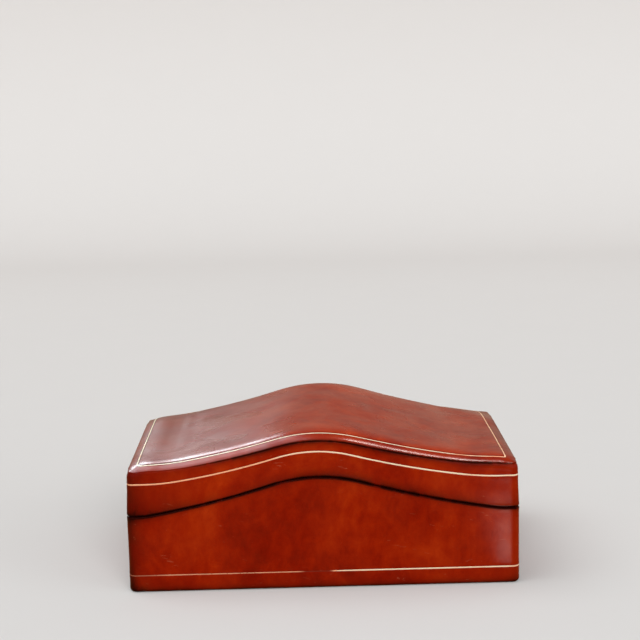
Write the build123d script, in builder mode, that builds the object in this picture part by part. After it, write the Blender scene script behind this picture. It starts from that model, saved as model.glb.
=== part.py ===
from build123d import *

import os
from math import atan, cos, degrees, radians, sin, sqrt
from typing import NamedTuple

# A leather-covered stationery box with a serpentine lid. Millimetres and degrees.
# The length runs along X, the front faces -Y, and the box stands on Z = 0.
# The origin is at the centre of its underside.

# ---------------------------------------------------------------------------
# Driving dimensions
# ---------------------------------------------------------------------------

# Outside of the finished box
box_length = 261.5
box_depth = 160.0
corner_radius = 5.0         # upright corners
foot_radius = 2.8           # round the bottom edge
roll_radius = 3.2           # rolled edge round the top of the lid

# Serpentine curves, all with one crest and one crown radius
crest_x = -3.5              # the crest stands a little left of the middle
crown_radius = 105.0
seam_end_z = 52.5           # middle of the seam at the sides and the back
seam_rise = 24.2            # rise of the front seam from its ends to its crest
seam_steepness = 1.5        # steepest slope of the curve over its mean slope
seam_easing = 0.8           # slope where the toe begins over its mean slope
top_end_z = 87.3            # top of the lid
top_rise = 19.2
crease_drop = 3.7           # from the top of the lid's ends to the lower edge of its leather
crease_slack = 1.9          # how much deeper that edge hangs at the crest
top_steepness = 1.65
top_easing = 1.0
top_toe_inset = 14.5        # where the top comes level, from each end

# Carcass, coverings and linings
leather = 1.3
wall = 8.0
corner_lap = 3.0            # what the front and back leave over the side walls
floor_board = 5.0
floor_rebate = 4.0
top_board = 2.0
padding = 4.5
lining = 1.2
lining_drop = 0.8           # the linings stop short of the rims
turn_under = 14.0           # leather turned in below the floor

# Hinges
seam_gap = 0.5
crease_gap = 0.2
hinge_inset = 2.4           # from the back of the box to the hinge axis
hinge_from_end = 44.0       # from the end of the box to the middle of a hinge
hinge_width = 32.0
knuckles = 3
knuckle_gap = 0.15
barrel_radius = 1.9
leaf_reach = 6.2            # from the axis to the front edge of a leaf
leaf_thickness = 1.5
leaf_fit = 0.1              # round a leaf in its mortise
pin_radius = 0.9
pin_clearance = 0.05
swing_clearance = 0.25      # round a barrel in its mortise
opening_angle = 100.0
stop_clearance = 0.3        # between the bevelled rims when the lid is open

# Hinge screws, of which only the countersunk heads are made
screw_pitch = 20.0
screw_from_edge = 2.05      # from the front edge of a leaf to the screws
head_radius = 1.6
neck_radius = 0.7

# ---------------------------------------------------------------------------
# Places worked out from them
# ---------------------------------------------------------------------------

half_length = box_length / 2
half_depth = box_depth / 2
rim = leather + wall                    # width of a rim
front_inside = rim - half_depth         # inner face of the front wall
front_lined = front_inside + lining     # inner face of its lining
crest_z = top_end_z + top_rise
overrun = box_depth                     # how far cutting shapes run past the box
sky = crest_z + overrun
hinge_y = half_depth - hinge_inset
hinge_z = seam_end_z
hinge_plane = Plane.XY.offset(hinge_z)
base_rim_z = seam_end_z - seam_gap / 2
floor_z = leather + floor_board
lining_floor_z = floor_z + lining


class Curve(NamedTuple):
    """A serpentine curve in the plane of the front: level toes, hollow sweeps, one crown."""

    end_z: float
    rise: float
    toe_inset: float
    steepness: float
    easing: float

    def lowered(self, drop):
        """The same curve, further down by a drop."""
        return self._replace(end_z=self.end_z - drop)


seam = Curve(seam_end_z, seam_rise, rim, seam_steepness, seam_easing)
top = Curve(top_end_z, top_rise, top_toe_inset, top_steepness, top_easing)
crease = top.lowered(crease_drop)._replace(rise=top_rise - crease_slack)
board_top = top.lowered(leather + padding)
board_underside = board_top.lowered(top_board)
lining_underside = board_underside.lowered(lining)


# ---------------------------------------------------------------------------
# Shapes that several pieces share
# ---------------------------------------------------------------------------


def serpentine(curve):
    """The curve as tangent arcs, from past the left end to past the right end."""
    with BuildLine(Plane.XZ) as line:
        for side in (-1, 1):
            reach = half_length - curve.toe_inset - side * crest_x
            mean_slope = curve.rise / reach
            steepest = atan(curve.steepness * mean_slope)
            toe = atan(curve.easing * mean_slope)
            # The sweep and the toe take up what the crown leaves of the reach and the fall
            run = reach - crown_radius * sin(steepest)
            fall = curve.rise - crown_radius * (1 - cos(steepest))
            sweep_run, toe_run = sin(steepest) - sin(toe), sin(toe)
            sweep_fall, toe_fall = cos(toe) - cos(steepest), 1 - cos(toe)
            scale = sweep_run * toe_fall - toe_run * sweep_fall
            sweep_radius = (run * toe_fall - fall * toe_run) / scale
            toe_radius = (sweep_run * fall - sweep_fall * run) / scale

            crest = (crest_x, curve.end_z + curve.rise)
            crown = JernArc(crest, (side, 0), crown_radius, -side * degrees(steepest))
            sweep = JernArc(crown @ 1, crown % 1, sweep_radius, side * degrees(steepest - toe))
            ease = JernArc(sweep @ 1, sweep % 1, toe_radius, side * degrees(toe))
            Line(ease @ 1, (side * (half_length + overrun), curve.end_z))
    return line.line


def above(curve, front=-overrun, back=overrun):
    """Everything above a curve, between two depths."""
    with BuildPart() as block:
        with BuildSketch(Plane.XZ.offset(-front)):
            with BuildLine(Plane.XZ.offset(-front)):
                edge = add(serpentine(curve).moved(Location((0, front, 0))))
                left, right = edge.vertices().sort_by(Axis.X)[0], edge.vertices().sort_by(Axis.X)[-1]
                Polyline(
                    (left.X, left.Z),
                    (left.X, sky),
                    (right.X, sky),
                    (right.X, right.Z),
                )
            make_face()
        extrude(amount=front - back)
    return block.part


def above_rims(curve, curved_back=front_inside):
    """Everything above the rims: curved over the front wall, level behind it."""
    with BuildPart() as block:
        add(above(curve, back=curved_back))
        with BuildSketch(Plane.XY.offset(curve.end_z)):
            with Locations((0, curved_back)):
                Rectangle(2 * overrun + box_length, 2 * overrun, align=(Align.CENTER, Align.MIN))
        extrude(amount=sky - curve.end_z)
    return block.part


def stop_bevel(side, inset):
    """Plane of a back rim's bevel, for the base (-1) or the lid (1)."""
    lean = radians(opening_angle / 2)
    into_rim = Vector(0, -sin(lean), side * cos(lean))
    through = Vector(0, hinge_y, hinge_z) + into_rim * (stop_clearance / 2 + inset)
    return Plane(origin=through, x_dir=(1, 0, 0), z_dir=into_rim)


def block_between(inset, low, high):
    """Upright block with the box's rounded outline, taken in from its sides."""
    with BuildPart() as block:
        with BuildSketch(Plane.XY.offset(low)):
            RectangleRounded(box_length - 2 * inset, box_depth - 2 * inset, corner_radius - inset)
        extrude(amount=high - low)
    return block.part


def well_between(inset, low, high):
    """Upright block with square corners, taken in from the box's sides."""
    with BuildPart() as block:
        with BuildSketch(Plane.XY.offset(low)):
            Rectangle(box_length - 2 * inset, box_depth - 2 * inset)
        extrude(amount=high - low)
    return block.part


def ease(edges, radius, inset):
    """Round the edges of an outside, or take a flat off those of the wood inside it."""
    if inset:
        chamfer(edges, length=(radius - inset) * (2 - sqrt(2)))
    else:
        fillet(edges, radius=radius)


def base_form(inset):
    """The base as one block inside its surface, up to its rims and its bevel."""
    with BuildPart() as form:
        add(block_between(inset, inset, crest_z))
        foot = form.faces().sort_by(Axis.Z)[0]
        ease(foot.edges(), foot_radius, inset)
        add(above_rims(seam.lowered(seam_gap / 2 + inset)), mode=Mode.SUBTRACT)
        split(bisect_by=stop_bevel(-1, inset))
    return form.part


def lid_form(inset):
    """The lid as one block inside its surface, with its rolled edge, rims and bevel."""
    with BuildPart() as form:
        add(block_between(inset, seam_end_z, crest_z))
        add(above(top.lowered(inset)), mode=Mode.SUBTRACT)
        roof = form.faces().filter_by(lambda face: face.normal_at().Z > 0.5)
        inner_joins = roof.edges().filter_by(Axis.Y).filter_by_position(
            Axis.X, corner_radius - half_length, half_length - corner_radius
        )
        ease(roof.edges() - inner_joins, roll_radius, inset)
        add(above_rims(seam.lowered(-seam_gap / 2 - inset)), mode=Mode.INTERSECT)
        split(bisect_by=stop_bevel(1, inset))
    return form.part


def long_wall_plan(side):
    """Plan of a front (-1) or back (1) wall, lapped over the side walls."""
    with BuildSketch() as plan:
        with Locations((0, side * (half_depth - leather - wall / 2))):
            Rectangle(box_length - 2 * leather, wall)
        lap_corners = [
            (end * (half_length - leather), side * (half_depth - leather - corner_lap - wall / 2))
            for end in (-1, 1)
        ]
        with Locations(*lap_corners):
            Rectangle(2 * wall, wall, mode=Mode.SUBTRACT)
    return plan.sketch


def short_wall_plan(end):
    """Plan of a left (-1) or right (1) wall, its ends in the laps."""
    with BuildSketch() as plan:
        with Locations((end * (half_length - leather - wall / 2), 0)):
            Rectangle(wall, box_depth - 2 * (leather + corner_lap))
    return plan.sketch


def long_panel_plan(side):
    """Plan of the lining on a front (-1) or back (1) wall."""
    with BuildSketch() as plan:
        with Locations((0, side * (half_depth - rim - lining / 2))):
            Rectangle(box_length - 2 * rim, lining)
    return plan.sketch


def short_panel_plan(end):
    """Plan of the lining on a left (-1) or right (1) wall, between the long panels."""
    with BuildSketch() as plan:
        with Locations((end * (half_length - rim - lining / 2), 0)):
            Rectangle(lining, box_depth - 2 * (rim + lining))
    return plan.sketch


walls = {
    "front": long_wall_plan(-1),
    "back": long_wall_plan(1),
    "left": short_wall_plan(-1),
    "right": short_wall_plan(1),
}
panels = {
    "front": long_panel_plan(-1),
    "back": long_panel_plan(1),
    "left": short_panel_plan(-1),
    "right": short_panel_plan(1),
}
hinges = {
    "left": hinge_from_end - half_length,
    "right": half_length - hinge_from_end,
}


def hinge_mortise(x):
    """What a hinge takes out of the base's back rim, for its leaf and its barrel."""
    with BuildPart() as cut:
        with BuildSketch(Plane.XY.offset(base_rim_z - leaf_thickness)):
            with Locations((x, hinge_y + leaf_fit)):
                Rectangle(
                    hinge_width + 2 * leaf_fit,
                    leaf_reach + 2 * leaf_fit,
                    align=(Align.CENTER, Align.MAX),
                )
        extrude(amount=leaf_thickness + seam_gap)
        with Locations((x, hinge_y, hinge_z)):
            barrel_room = 2 * (barrel_radius + swing_clearance)
            Box(hinge_width + 2 * leaf_fit, barrel_room, barrel_room)
    return cut.part


def hinge_leaf(x, slots):
    """The base's leaf of a hinge: plate, barrel and the slots for the other leaf's knuckles."""
    pitch = hinge_width / knuckles
    with BuildPart() as leaf:
        with BuildSketch(Plane.XY.offset(base_rim_z - leaf_thickness)):
            with Locations((x, hinge_y)):
                Rectangle(hinge_width, leaf_reach, align=(Align.CENTER, Align.MAX))
        extrude(amount=leaf_thickness)
        with BuildSketch(Plane.YZ.offset(x)):
            with Locations((hinge_y, hinge_z)):
                Circle(barrel_radius)
        extrude(amount=hinge_width / 2, both=True)
        with BuildSketch(Plane.YZ.offset(x)):
            with Locations((hinge_y, hinge_z)):
                Circle(pin_radius + pin_clearance)
        extrude(amount=hinge_width / 2, both=True, mode=Mode.SUBTRACT)
        with BuildSketch(hinge_plane):
            with Locations(*[(x + (slot - (knuckles - 1) / 2) * pitch, hinge_y) for slot in slots]):
                Rectangle(pitch + knuckle_gap, 2 * (barrel_radius + swing_clearance))
        extrude(amount=2 * barrel_radius, both=True, mode=Mode.SUBTRACT)
        add(screw_heads(x), mode=Mode.SUBTRACT)
    return leaf.part


def screw_heads(x):
    """The heads of a leaf's two screws, flush with both of its faces."""
    y = hinge_y - leaf_reach + screw_from_edge
    with BuildPart() as heads:
        with Locations(*[(x + end * screw_pitch / 2, y, base_rim_z) for end in (-1, 1)]):
            Cone(
                neck_radius,
                head_radius,
                leaf_thickness,
                align=(Align.CENTER, Align.CENTER, Align.MAX),
            )
    return heads.part


def turned_over(piece):
    """The lid's counterpart of a hinge piece, mirrored in the plane of the seam."""
    return mirror(piece, about=hinge_plane, mode=Mode.PRIVATE)


def write(piece, name):
    """Label a finished piece and write its STEP file."""
    piece.label = name
    export_step(piece, f"parts/{name}.step")


os.makedirs("parts", exist_ok=True)

# ---------------------------------------------------------------------------
# Base
# ---------------------------------------------------------------------------

base_core = base_form(leather)
mortises = [hinge_mortise(x) for x in hinges.values()]

with BuildPart() as base_floor_board:
    add(well_between(rim - floor_rebate, leather, floor_z))
write(base_floor_board.part, "base_floor_board")

with BuildPart() as base_carcass:
    add(base_core)
    add(well_between(rim, 0, sky), mode=Mode.SUBTRACT)
    add(base_floor_board.part, mode=Mode.SUBTRACT)
    add(mortises, mode=Mode.SUBTRACT)

for name, plan in walls.items():
    with BuildPart() as base_wall:
        add(base_carcass.part)
        extrude(plan, amount=sky, mode=Mode.INTERSECT)
    write(base_wall.part, f"base_{name}_wall")

with BuildPart() as base_leather_wrap:
    add(base_form(0))
    add(base_core, mode=Mode.SUBTRACT)
    add(well_between(rim, floor_z, sky), mode=Mode.SUBTRACT)
    add(well_between(turn_under, 0, leather), mode=Mode.SUBTRACT)
    add(mortises, mode=Mode.SUBTRACT)
write(base_leather_wrap.part, "base_leather_wrap")

with BuildPart() as base_bottom_sheet:
    add(well_between(turn_under, 0, leather))
write(base_bottom_sheet.part, "base_bottom_sheet")

with BuildPart() as base_floor_lining:
    add(well_between(rim, floor_z, lining_floor_z))
write(base_floor_lining.part, "base_floor_lining")

for name, plan in panels.items():
    with BuildPart() as base_lining:
        extrude(plan, amount=sky)
        add(well_between(0, 0, lining_floor_z), mode=Mode.SUBTRACT)
        add(above_rims(seam.lowered(seam_gap / 2 + lining_drop), front_lined), mode=Mode.SUBTRACT)
    write(base_lining.part, f"base_{name}_lining")

# ---------------------------------------------------------------------------
# Lid
# ---------------------------------------------------------------------------

lid_core = lid_form(leather)

with BuildPart() as lid_padding:
    add(lid_core)
    add(above(board_top), mode=Mode.INTERSECT)
write(lid_padding.part, "lid_padding")

with BuildPart() as lid_top_board:
    add(lid_core)
    add(above(board_top), mode=Mode.SUBTRACT)
    add(above(board_underside), mode=Mode.INTERSECT)
write(lid_top_board.part, "lid_top_board")

with BuildPart() as lid_frame:
    add(lid_core)
    add(above(board_underside), mode=Mode.SUBTRACT)
    add(well_between(rim, 0, sky), mode=Mode.SUBTRACT)
    add([turned_over(mortise) for mortise in mortises], mode=Mode.SUBTRACT)

for name, plan in walls.items():
    with BuildPart() as lid_rail:
        add(lid_frame.part)
        extrude(plan, amount=sky, mode=Mode.INTERSECT)
    write(lid_rail.part, f"lid_{name}_rail")

with BuildPart() as lid_skin:
    add(lid_form(0))
    add(lid_core, mode=Mode.SUBTRACT)
    add(well_between(rim, 0, sky), mode=Mode.SUBTRACT)
    add([turned_over(mortise) for mortise in mortises], mode=Mode.SUBTRACT)

with BuildPart() as lid_top_leather:
    add(lid_form(0))
    add(lid_core, mode=Mode.SUBTRACT)
    add(above(crease), mode=Mode.INTERSECT)
write(lid_top_leather.part, "lid_top_leather")

with BuildPart() as lid_band_leather:
    add(lid_skin.part)
    add(above(crease.lowered(crease_gap)), mode=Mode.SUBTRACT)
write(lid_band_leather.part, "lid_band_leather")

for name, plan in panels.items():
    with BuildPart() as lid_lining:
        extrude(plan, amount=sky)
        add(above(lining_underside), mode=Mode.SUBTRACT)
        add(above_rims(seam.lowered(-seam_gap / 2 - lining_drop), front_lined), mode=Mode.INTERSECT)
    write(lid_lining.part, f"lid_{name}_lining")

with BuildPart() as lid_top_lining:
    add(well_between(rim, seam_end_z, sky))
    add(above(board_underside), mode=Mode.SUBTRACT)
    add(above(lining_underside), mode=Mode.INTERSECT)
write(lid_top_lining.part, "lid_top_lining")

# ---------------------------------------------------------------------------
# Hinges
# ---------------------------------------------------------------------------

base_knuckles = range(0, knuckles, 2)
lid_knuckles = range(1, knuckles, 2)

for name, x in hinges.items():
    write(hinge_leaf(x, slots=lid_knuckles), f"{name}_hinge_base_leaf")
    write(turned_over(hinge_leaf(x, slots=base_knuckles)), f"{name}_hinge_lid_leaf")
    with BuildPart() as hinge_pin:
        with BuildSketch(Plane.YZ.offset(x)):
            with Locations((hinge_y, hinge_z)):
                Circle(pin_radius)
        extrude(amount=hinge_width / 2, both=True)
    write(hinge_pin.part, f"{name}_hinge_pin")

with BuildPart() as base_hinge_screws:
    add([screw_heads(x) for x in hinges.values()])
write(base_hinge_screws.part, "base_hinge_screws")
write(turned_over(base_hinge_screws.part), "lid_hinge_screws")
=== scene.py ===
import logging
from abc import ABC, abstractmethod
from collections.abc import Callable, Sequence
from dataclasses import dataclass, field
from enum import Enum
from functools import cached_property
from math import asin, atan, cos, exp, hypot, pi, radians, sin, sqrt, tan
from typing import NamedTuple

import bpy
from mathutils import Matrix, Quaternion, Vector, noise


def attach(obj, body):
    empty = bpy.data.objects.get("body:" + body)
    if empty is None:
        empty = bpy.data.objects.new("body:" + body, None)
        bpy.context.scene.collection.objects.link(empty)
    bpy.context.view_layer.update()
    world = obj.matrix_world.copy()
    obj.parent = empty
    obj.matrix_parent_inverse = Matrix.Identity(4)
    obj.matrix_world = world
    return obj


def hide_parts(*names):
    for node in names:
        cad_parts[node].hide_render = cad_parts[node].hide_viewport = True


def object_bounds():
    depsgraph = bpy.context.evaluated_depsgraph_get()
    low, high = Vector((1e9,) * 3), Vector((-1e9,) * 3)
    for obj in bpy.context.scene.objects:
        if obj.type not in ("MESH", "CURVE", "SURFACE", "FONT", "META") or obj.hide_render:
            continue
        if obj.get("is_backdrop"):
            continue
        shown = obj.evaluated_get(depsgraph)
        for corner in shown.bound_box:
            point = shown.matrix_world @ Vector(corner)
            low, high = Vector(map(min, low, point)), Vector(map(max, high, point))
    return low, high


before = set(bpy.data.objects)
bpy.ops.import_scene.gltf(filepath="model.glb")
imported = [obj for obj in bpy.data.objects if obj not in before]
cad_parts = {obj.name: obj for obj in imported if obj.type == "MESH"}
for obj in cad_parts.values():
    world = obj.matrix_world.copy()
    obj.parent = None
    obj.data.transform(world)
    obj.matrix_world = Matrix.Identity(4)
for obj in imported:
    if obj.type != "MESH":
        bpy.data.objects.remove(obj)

log = logging.getLogger("stationery_box")

# Sizes and places are in millimetres, and are turned into metres where a mesh is made.
MM = 0.001

# The box's outside, its rims and the seam between them
HALF_LENGTH = 130.75
HALF_DEPTH = 80.0
CORNER_RADIUS = 5.0
LEATHER = 1.3
RIM = 9.3
SEAM_GAP = 0.5

# The hinges, and the bevels that stop the open lid
HINGE_X = 86.75
HINGE_Y = 77.6
HINGE_Z = 52.5
HINGE_WIDTH = 32.0
MORTISE_FIT = 0.1
MORTISE_DEPTH = 8.9
OPENING_ANGLE = 100.0
STOP_CLEARANCE = 0.3

# Edges sharper than this stay sharp, in degrees
SHARP_ANGLE = 40.0

Colour = tuple[float, float, float]
Place = tuple[float, float, float]
Guide = Callable[[float, float], float]  # a height at a place on the plan
Shade = Callable[[Vector], float]  # a measure of the finish at a point
Layer = list[list[Vector]]  # rows of points


class Body(Enum):
    """The two bodies that pieces ride on."""

    BASE = "base"
    LID = "lid"


class Slot(Enum):
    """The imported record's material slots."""

    CALF = "calf_leather"
    WOOD = "carcass_wood"
    BRASS = "brass"


class Side(Enum):
    """The sides of the box, in order round it from the front."""

    FRONT = 0
    RIGHT = 1
    BACK = 2
    LEFT = 3


# ---------------------------------------------------------------------------
# Lines and outlines
# ---------------------------------------------------------------------------


def smooth_step(value: float) -> float:
    """A value held between 0 and 1, eased at both ends."""
    value = min(max(value, 0.0), 1.0)
    return value * value * (3 - 2 * value)


def blend(low: float, high: float, part: float) -> float:
    """The value part of the way from low to high."""
    return low + (high - low) * part


@dataclass(frozen=True)
class Rise:
    """An eased rise along a measure, or against it where the run is negative.

    Attributes:
        start: Where it starts from 0.
        run: Over how much of the measure it rises.
        height: How far it rises.
    """

    start: float
    run: float
    height: float = 1.0

    def at(self, value: float) -> float:
        """How far it has risen at a value of the measure."""
        return self.height * smooth_step((value - self.start) / self.run)


@dataclass(frozen=True)
class Flank:
    """The arcs of a serpentine curve on one side of its crest.

    Attributes:
        reach: From the crest to where the toe comes level.
        steepest: Angle where the crown meets the sweep.
        toe: Angle where the sweep meets the toe.
        sweep_radius: Radius of the hollow sweep.
        toe_radius: Radius of the toe.
    """

    reach: float
    steepest: float
    toe: float
    sweep_radius: float
    toe_radius: float


@dataclass(frozen=True)
class SerpentineCurve:
    """A serpentine line seen from the front: level toes, hollow sweeps and one crown.

    Attributes:
        end_z: Height of its ends.
        rise: Rise from its ends to its crest.
        toe_inset: Where it comes level, from each end of the box.
        steepness: Its steepest slope over its mean slope.
        easing: Its slope where the toe begins, over its mean slope.
        crest_x: Where its crest stands.
        crown_radius: Radius of its crown.
    """

    end_z: float
    rise: float
    toe_inset: float
    steepness: float
    easing: float
    crest_x: float = -3.5
    crown_radius: float = 105.0

    @cached_property
    def flanks(self) -> dict[int, Flank]:
        """The curve's arcs on each side of the crest, left (-1) and right (1).

        Returns:
            The arcs, by side.
        """
        found = {}
        for side in (-1, 1):
            reach = HALF_LENGTH - self.toe_inset - side * self.crest_x
            mean_slope = self.rise / reach
            steepest = atan(self.steepness * mean_slope)
            toe = atan(self.easing * mean_slope)
            run = reach - self.crown_radius * sin(steepest)
            fall = self.rise - self.crown_radius * (1 - cos(steepest))
            sweep_run, toe_run = sin(steepest) - sin(toe), sin(toe)
            sweep_fall, toe_fall = cos(toe) - cos(steepest), 1 - cos(toe)
            scale = sweep_run * toe_fall - toe_run * sweep_fall
            sweep_radius = (run * toe_fall - fall * toe_run) / scale
            toe_radius = (sweep_run * fall - sweep_fall * run) / scale
            found[side] = Flank(reach, steepest, toe, sweep_radius, toe_radius)
        return found

    def height(self, x: float) -> float:
        """Height of the curve.

        Args:
            x: Place along the box.

        Returns:
            The height there.
        """
        flank = self.flanks[-1 if x < self.crest_x else 1]
        run = abs(x - self.crest_x)
        crown_run = self.crown_radius * sin(flank.steepest)
        crest_z = self.end_z + self.rise
        if run >= flank.reach:
            return self.end_z
        if run <= crown_run:
            return crest_z - self.crown_radius + sqrt(self.crown_radius**2 - run**2)
        z = crest_z - self.crown_radius * (1 - cos(flank.steepest))
        sweep_end = crown_run + flank.sweep_radius * (sin(flank.steepest) - sin(flank.toe))
        if run <= sweep_end:
            angle = asin(sin(flank.steepest) - (run - crown_run) / flank.sweep_radius)
            return z - flank.sweep_radius * (cos(angle) - cos(flank.steepest))
        z -= flank.sweep_radius * (cos(flank.toe) - cos(flank.steepest))
        angle = asin(max(0.0, sin(flank.toe) - (run - sweep_end) / flank.toe_radius))
        return z - flank.toe_radius * (cos(angle) - cos(flank.toe))


SEAM = SerpentineCurve(HINGE_Z, 24.2, RIM, 1.5, 0.8)
TOP = SerpentineCurve(87.3, 19.2, 14.5, 1.65, 1.0)
TOP_BEHIND = SerpentineCurve(86.4, 22.6, 35.75, 1.41, 0.49, crest_x=1.8, crown_radius=101.0)
CREASE = SerpentineCurve(83.0, 18.0, 14.5, 1.65, 1.0)
BAND_LINE = SerpentineCurve(74.35, 19.6, 12.5, 1.68, 0.85, crest_x=-4.6, crown_radius=93.0)


@dataclass(frozen=True)
class Station:
    """One upright line round the box.

    Attributes:
        side: The side it stands on, or the side before its corner.
        place: Distance along the side from its middle, in the straight stretch.
        shoulder: From the end of that stretch (0) to the corner (-1 or 1).
        turn: How far round the corner after the side, from 0 to 1.
    """

    side: Side
    place: float = 0.0
    shoulder: float = 0.0
    turn: float = 0.0


@dataclass(frozen=True)
class Outline:
    """The box's rounded plan, and the upright lines that its coverings are made on.

    Attributes:
        half_length: Half the length of the box.
        half_depth: Half its depth.
        corner_radius: Radius of its upright corners.
        sharpest: Least radius of a corner, however far in.
        straight_from_corner: Where the evenly spaced lines end, from the ends of a side.
        spacing: About how far apart those lines are.
        edge_room: How near such a line may come to the edge of a hinge mortise.
        shoulder_steps: Lines between them and a corner.
        corner_steps: Steps round a corner.
    """

    half_length: float = HALF_LENGTH
    half_depth: float = HALF_DEPTH
    corner_radius: float = CORNER_RADIUS
    sharpest: float = 0.6
    straight_from_corner: float = 10.4
    spacing: float = 2.4
    edge_room: float = 0.9
    shoulder_steps: int = 3
    corner_steps: int = 8

    def halves(self, side: Side) -> tuple[float, float]:
        """Half the run of a side, and how far out from the middle it stands.

        Args:
            side: The side.

        Returns:
            Half its run, and its distance from the middle of the box.
        """
        if side in (Side.FRONT, Side.BACK):
            return self.half_length, self.half_depth
        return self.half_depth, self.half_length

    @cached_property
    def stations(self) -> list[Station]:
        """The upright lines, once round from the left end of the front.

        Returns:
            The lines, in order.
        """
        found: list[Station] = []
        for side in Side:
            half_run, _ = self.halves(side)
            straight = half_run - self.straight_from_corner
            steps = round(2 * straight / self.spacing)
            places = [straight * (2 * step / steps - 1) for step in range(steps + 1)]
            if side is Side.BACK:
                edges = [
                    end * HINGE_X + half * (HINGE_WIDTH / 2 + MORTISE_FIT)
                    for end in (-1, 1)
                    for half in (-1, 1)
                ]
                places = [
                    place
                    for place in places
                    if min(abs(place - edge) for edge in edges) > self.edge_room
                ] + edges
            shoulders = [step / self.shoulder_steps for step in range(1, self.shoulder_steps + 1)]
            found += [Station(side, shoulder=-part) for part in reversed(shoulders)]
            found += [Station(side, place=place) for place in sorted(places)]
            found += [Station(side, shoulder=part) for part in shoulders]
            found += [
                Station(side, turn=step / self.corner_steps)
                for step in range(1, self.corner_steps)
            ]
        return found

    def point(self, station: Station, inset: float) -> tuple[float, float]:
        """Where a station stands on the plan.

        Args:
            station: The upright line.
            inset: How far in from the outline.

        Returns:
            Its x and y.
        """
        half_run, half_out = self.halves(station.side)
        radius = max(self.corner_radius - inset, self.sharpest)
        along, out = half_run - inset - radius, half_out - inset
        if station.turn:
            angle = station.turn * pi / 2
            along += radius * sin(angle)
            out -= radius * (1 - cos(angle))
        elif station.shoulder:
            straight = half_run - self.straight_from_corner
            along = straight + abs(station.shoulder) * (along - straight)
            along *= 1 if station.shoulder > 0 else -1
        else:
            along = station.place
        return {
            Side.FRONT: (along, -out),
            Side.RIGHT: (out, along),
            Side.BACK: (-along, out),
            Side.LEFT: (-out, -along),
        }[station.side]


def undulation(x: float, y: float, z: float, size: float = 34.0) -> float:
    """How far pared leather stands in or out on its board, from about -1 to 1."""
    return noise.noise(Vector((x / size + 3.1, y / size - 7.7, z / size + 1.9)))


def stop_bevel_drop(y: float) -> float:
    """How far the bevelled back rims stand from the level of the hinge axis, behind it."""
    lean = radians(OPENING_ANGLE / 2)
    return (y - HINGE_Y) * tan(lean) + STOP_CLEARANCE / 2 / cos(lean)


def seam_height(x: float, y: float) -> float:
    """Height of the middle of the seam: serpentine over the front wall, level elsewhere."""
    over_front = y <= RIM - HALF_DEPTH + 0.01
    return SEAM.height(x) if over_front else SEAM.end_z


def base_rim(x: float, y: float) -> float:
    """Height of the base's rim, under the seam and bevelled behind."""
    height = seam_height(x, y) - SEAM_GAP / 2
    return min(height, HINGE_Z - stop_bevel_drop(y)) if y > HINGE_Y else height


def lid_rim(x: float, y: float) -> float:
    """Height of the lid's rim, over the seam and bevelled behind."""
    height = seam_height(x, y) + SEAM_GAP / 2
    return max(height, HINGE_Z + stop_bevel_drop(y)) if y > HINGE_Y else height


def round_corner(x: float, y: float) -> float:
    """How diagonally a place lies on a rounded corner of the plan, from 0 to 1.

    Args:
        x: Place along the box.
        y: Place across it.

    Returns:
        1 on the diagonal of a corner, 0 at the corner's ends and along the sides.
    """
    beyond_x = max(abs(x) - HALF_LENGTH + CORNER_RADIUS, 0.0)
    beyond_y = max(abs(y) - HALF_DEPTH + CORNER_RADIUS, 0.0)
    together = beyond_x**2 + beyond_y**2
    return 2 * beyond_x * beyond_y / together if together else 0.0


def in_hinge_mortise(x: float, y: float) -> bool:
    """Whether a place on the back rim is cut away for a hinge."""
    beside = abs(abs(x) - HINGE_X) < HINGE_WIDTH / 2
    return beside and y > HALF_DEPTH - MORTISE_DEPTH


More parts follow.
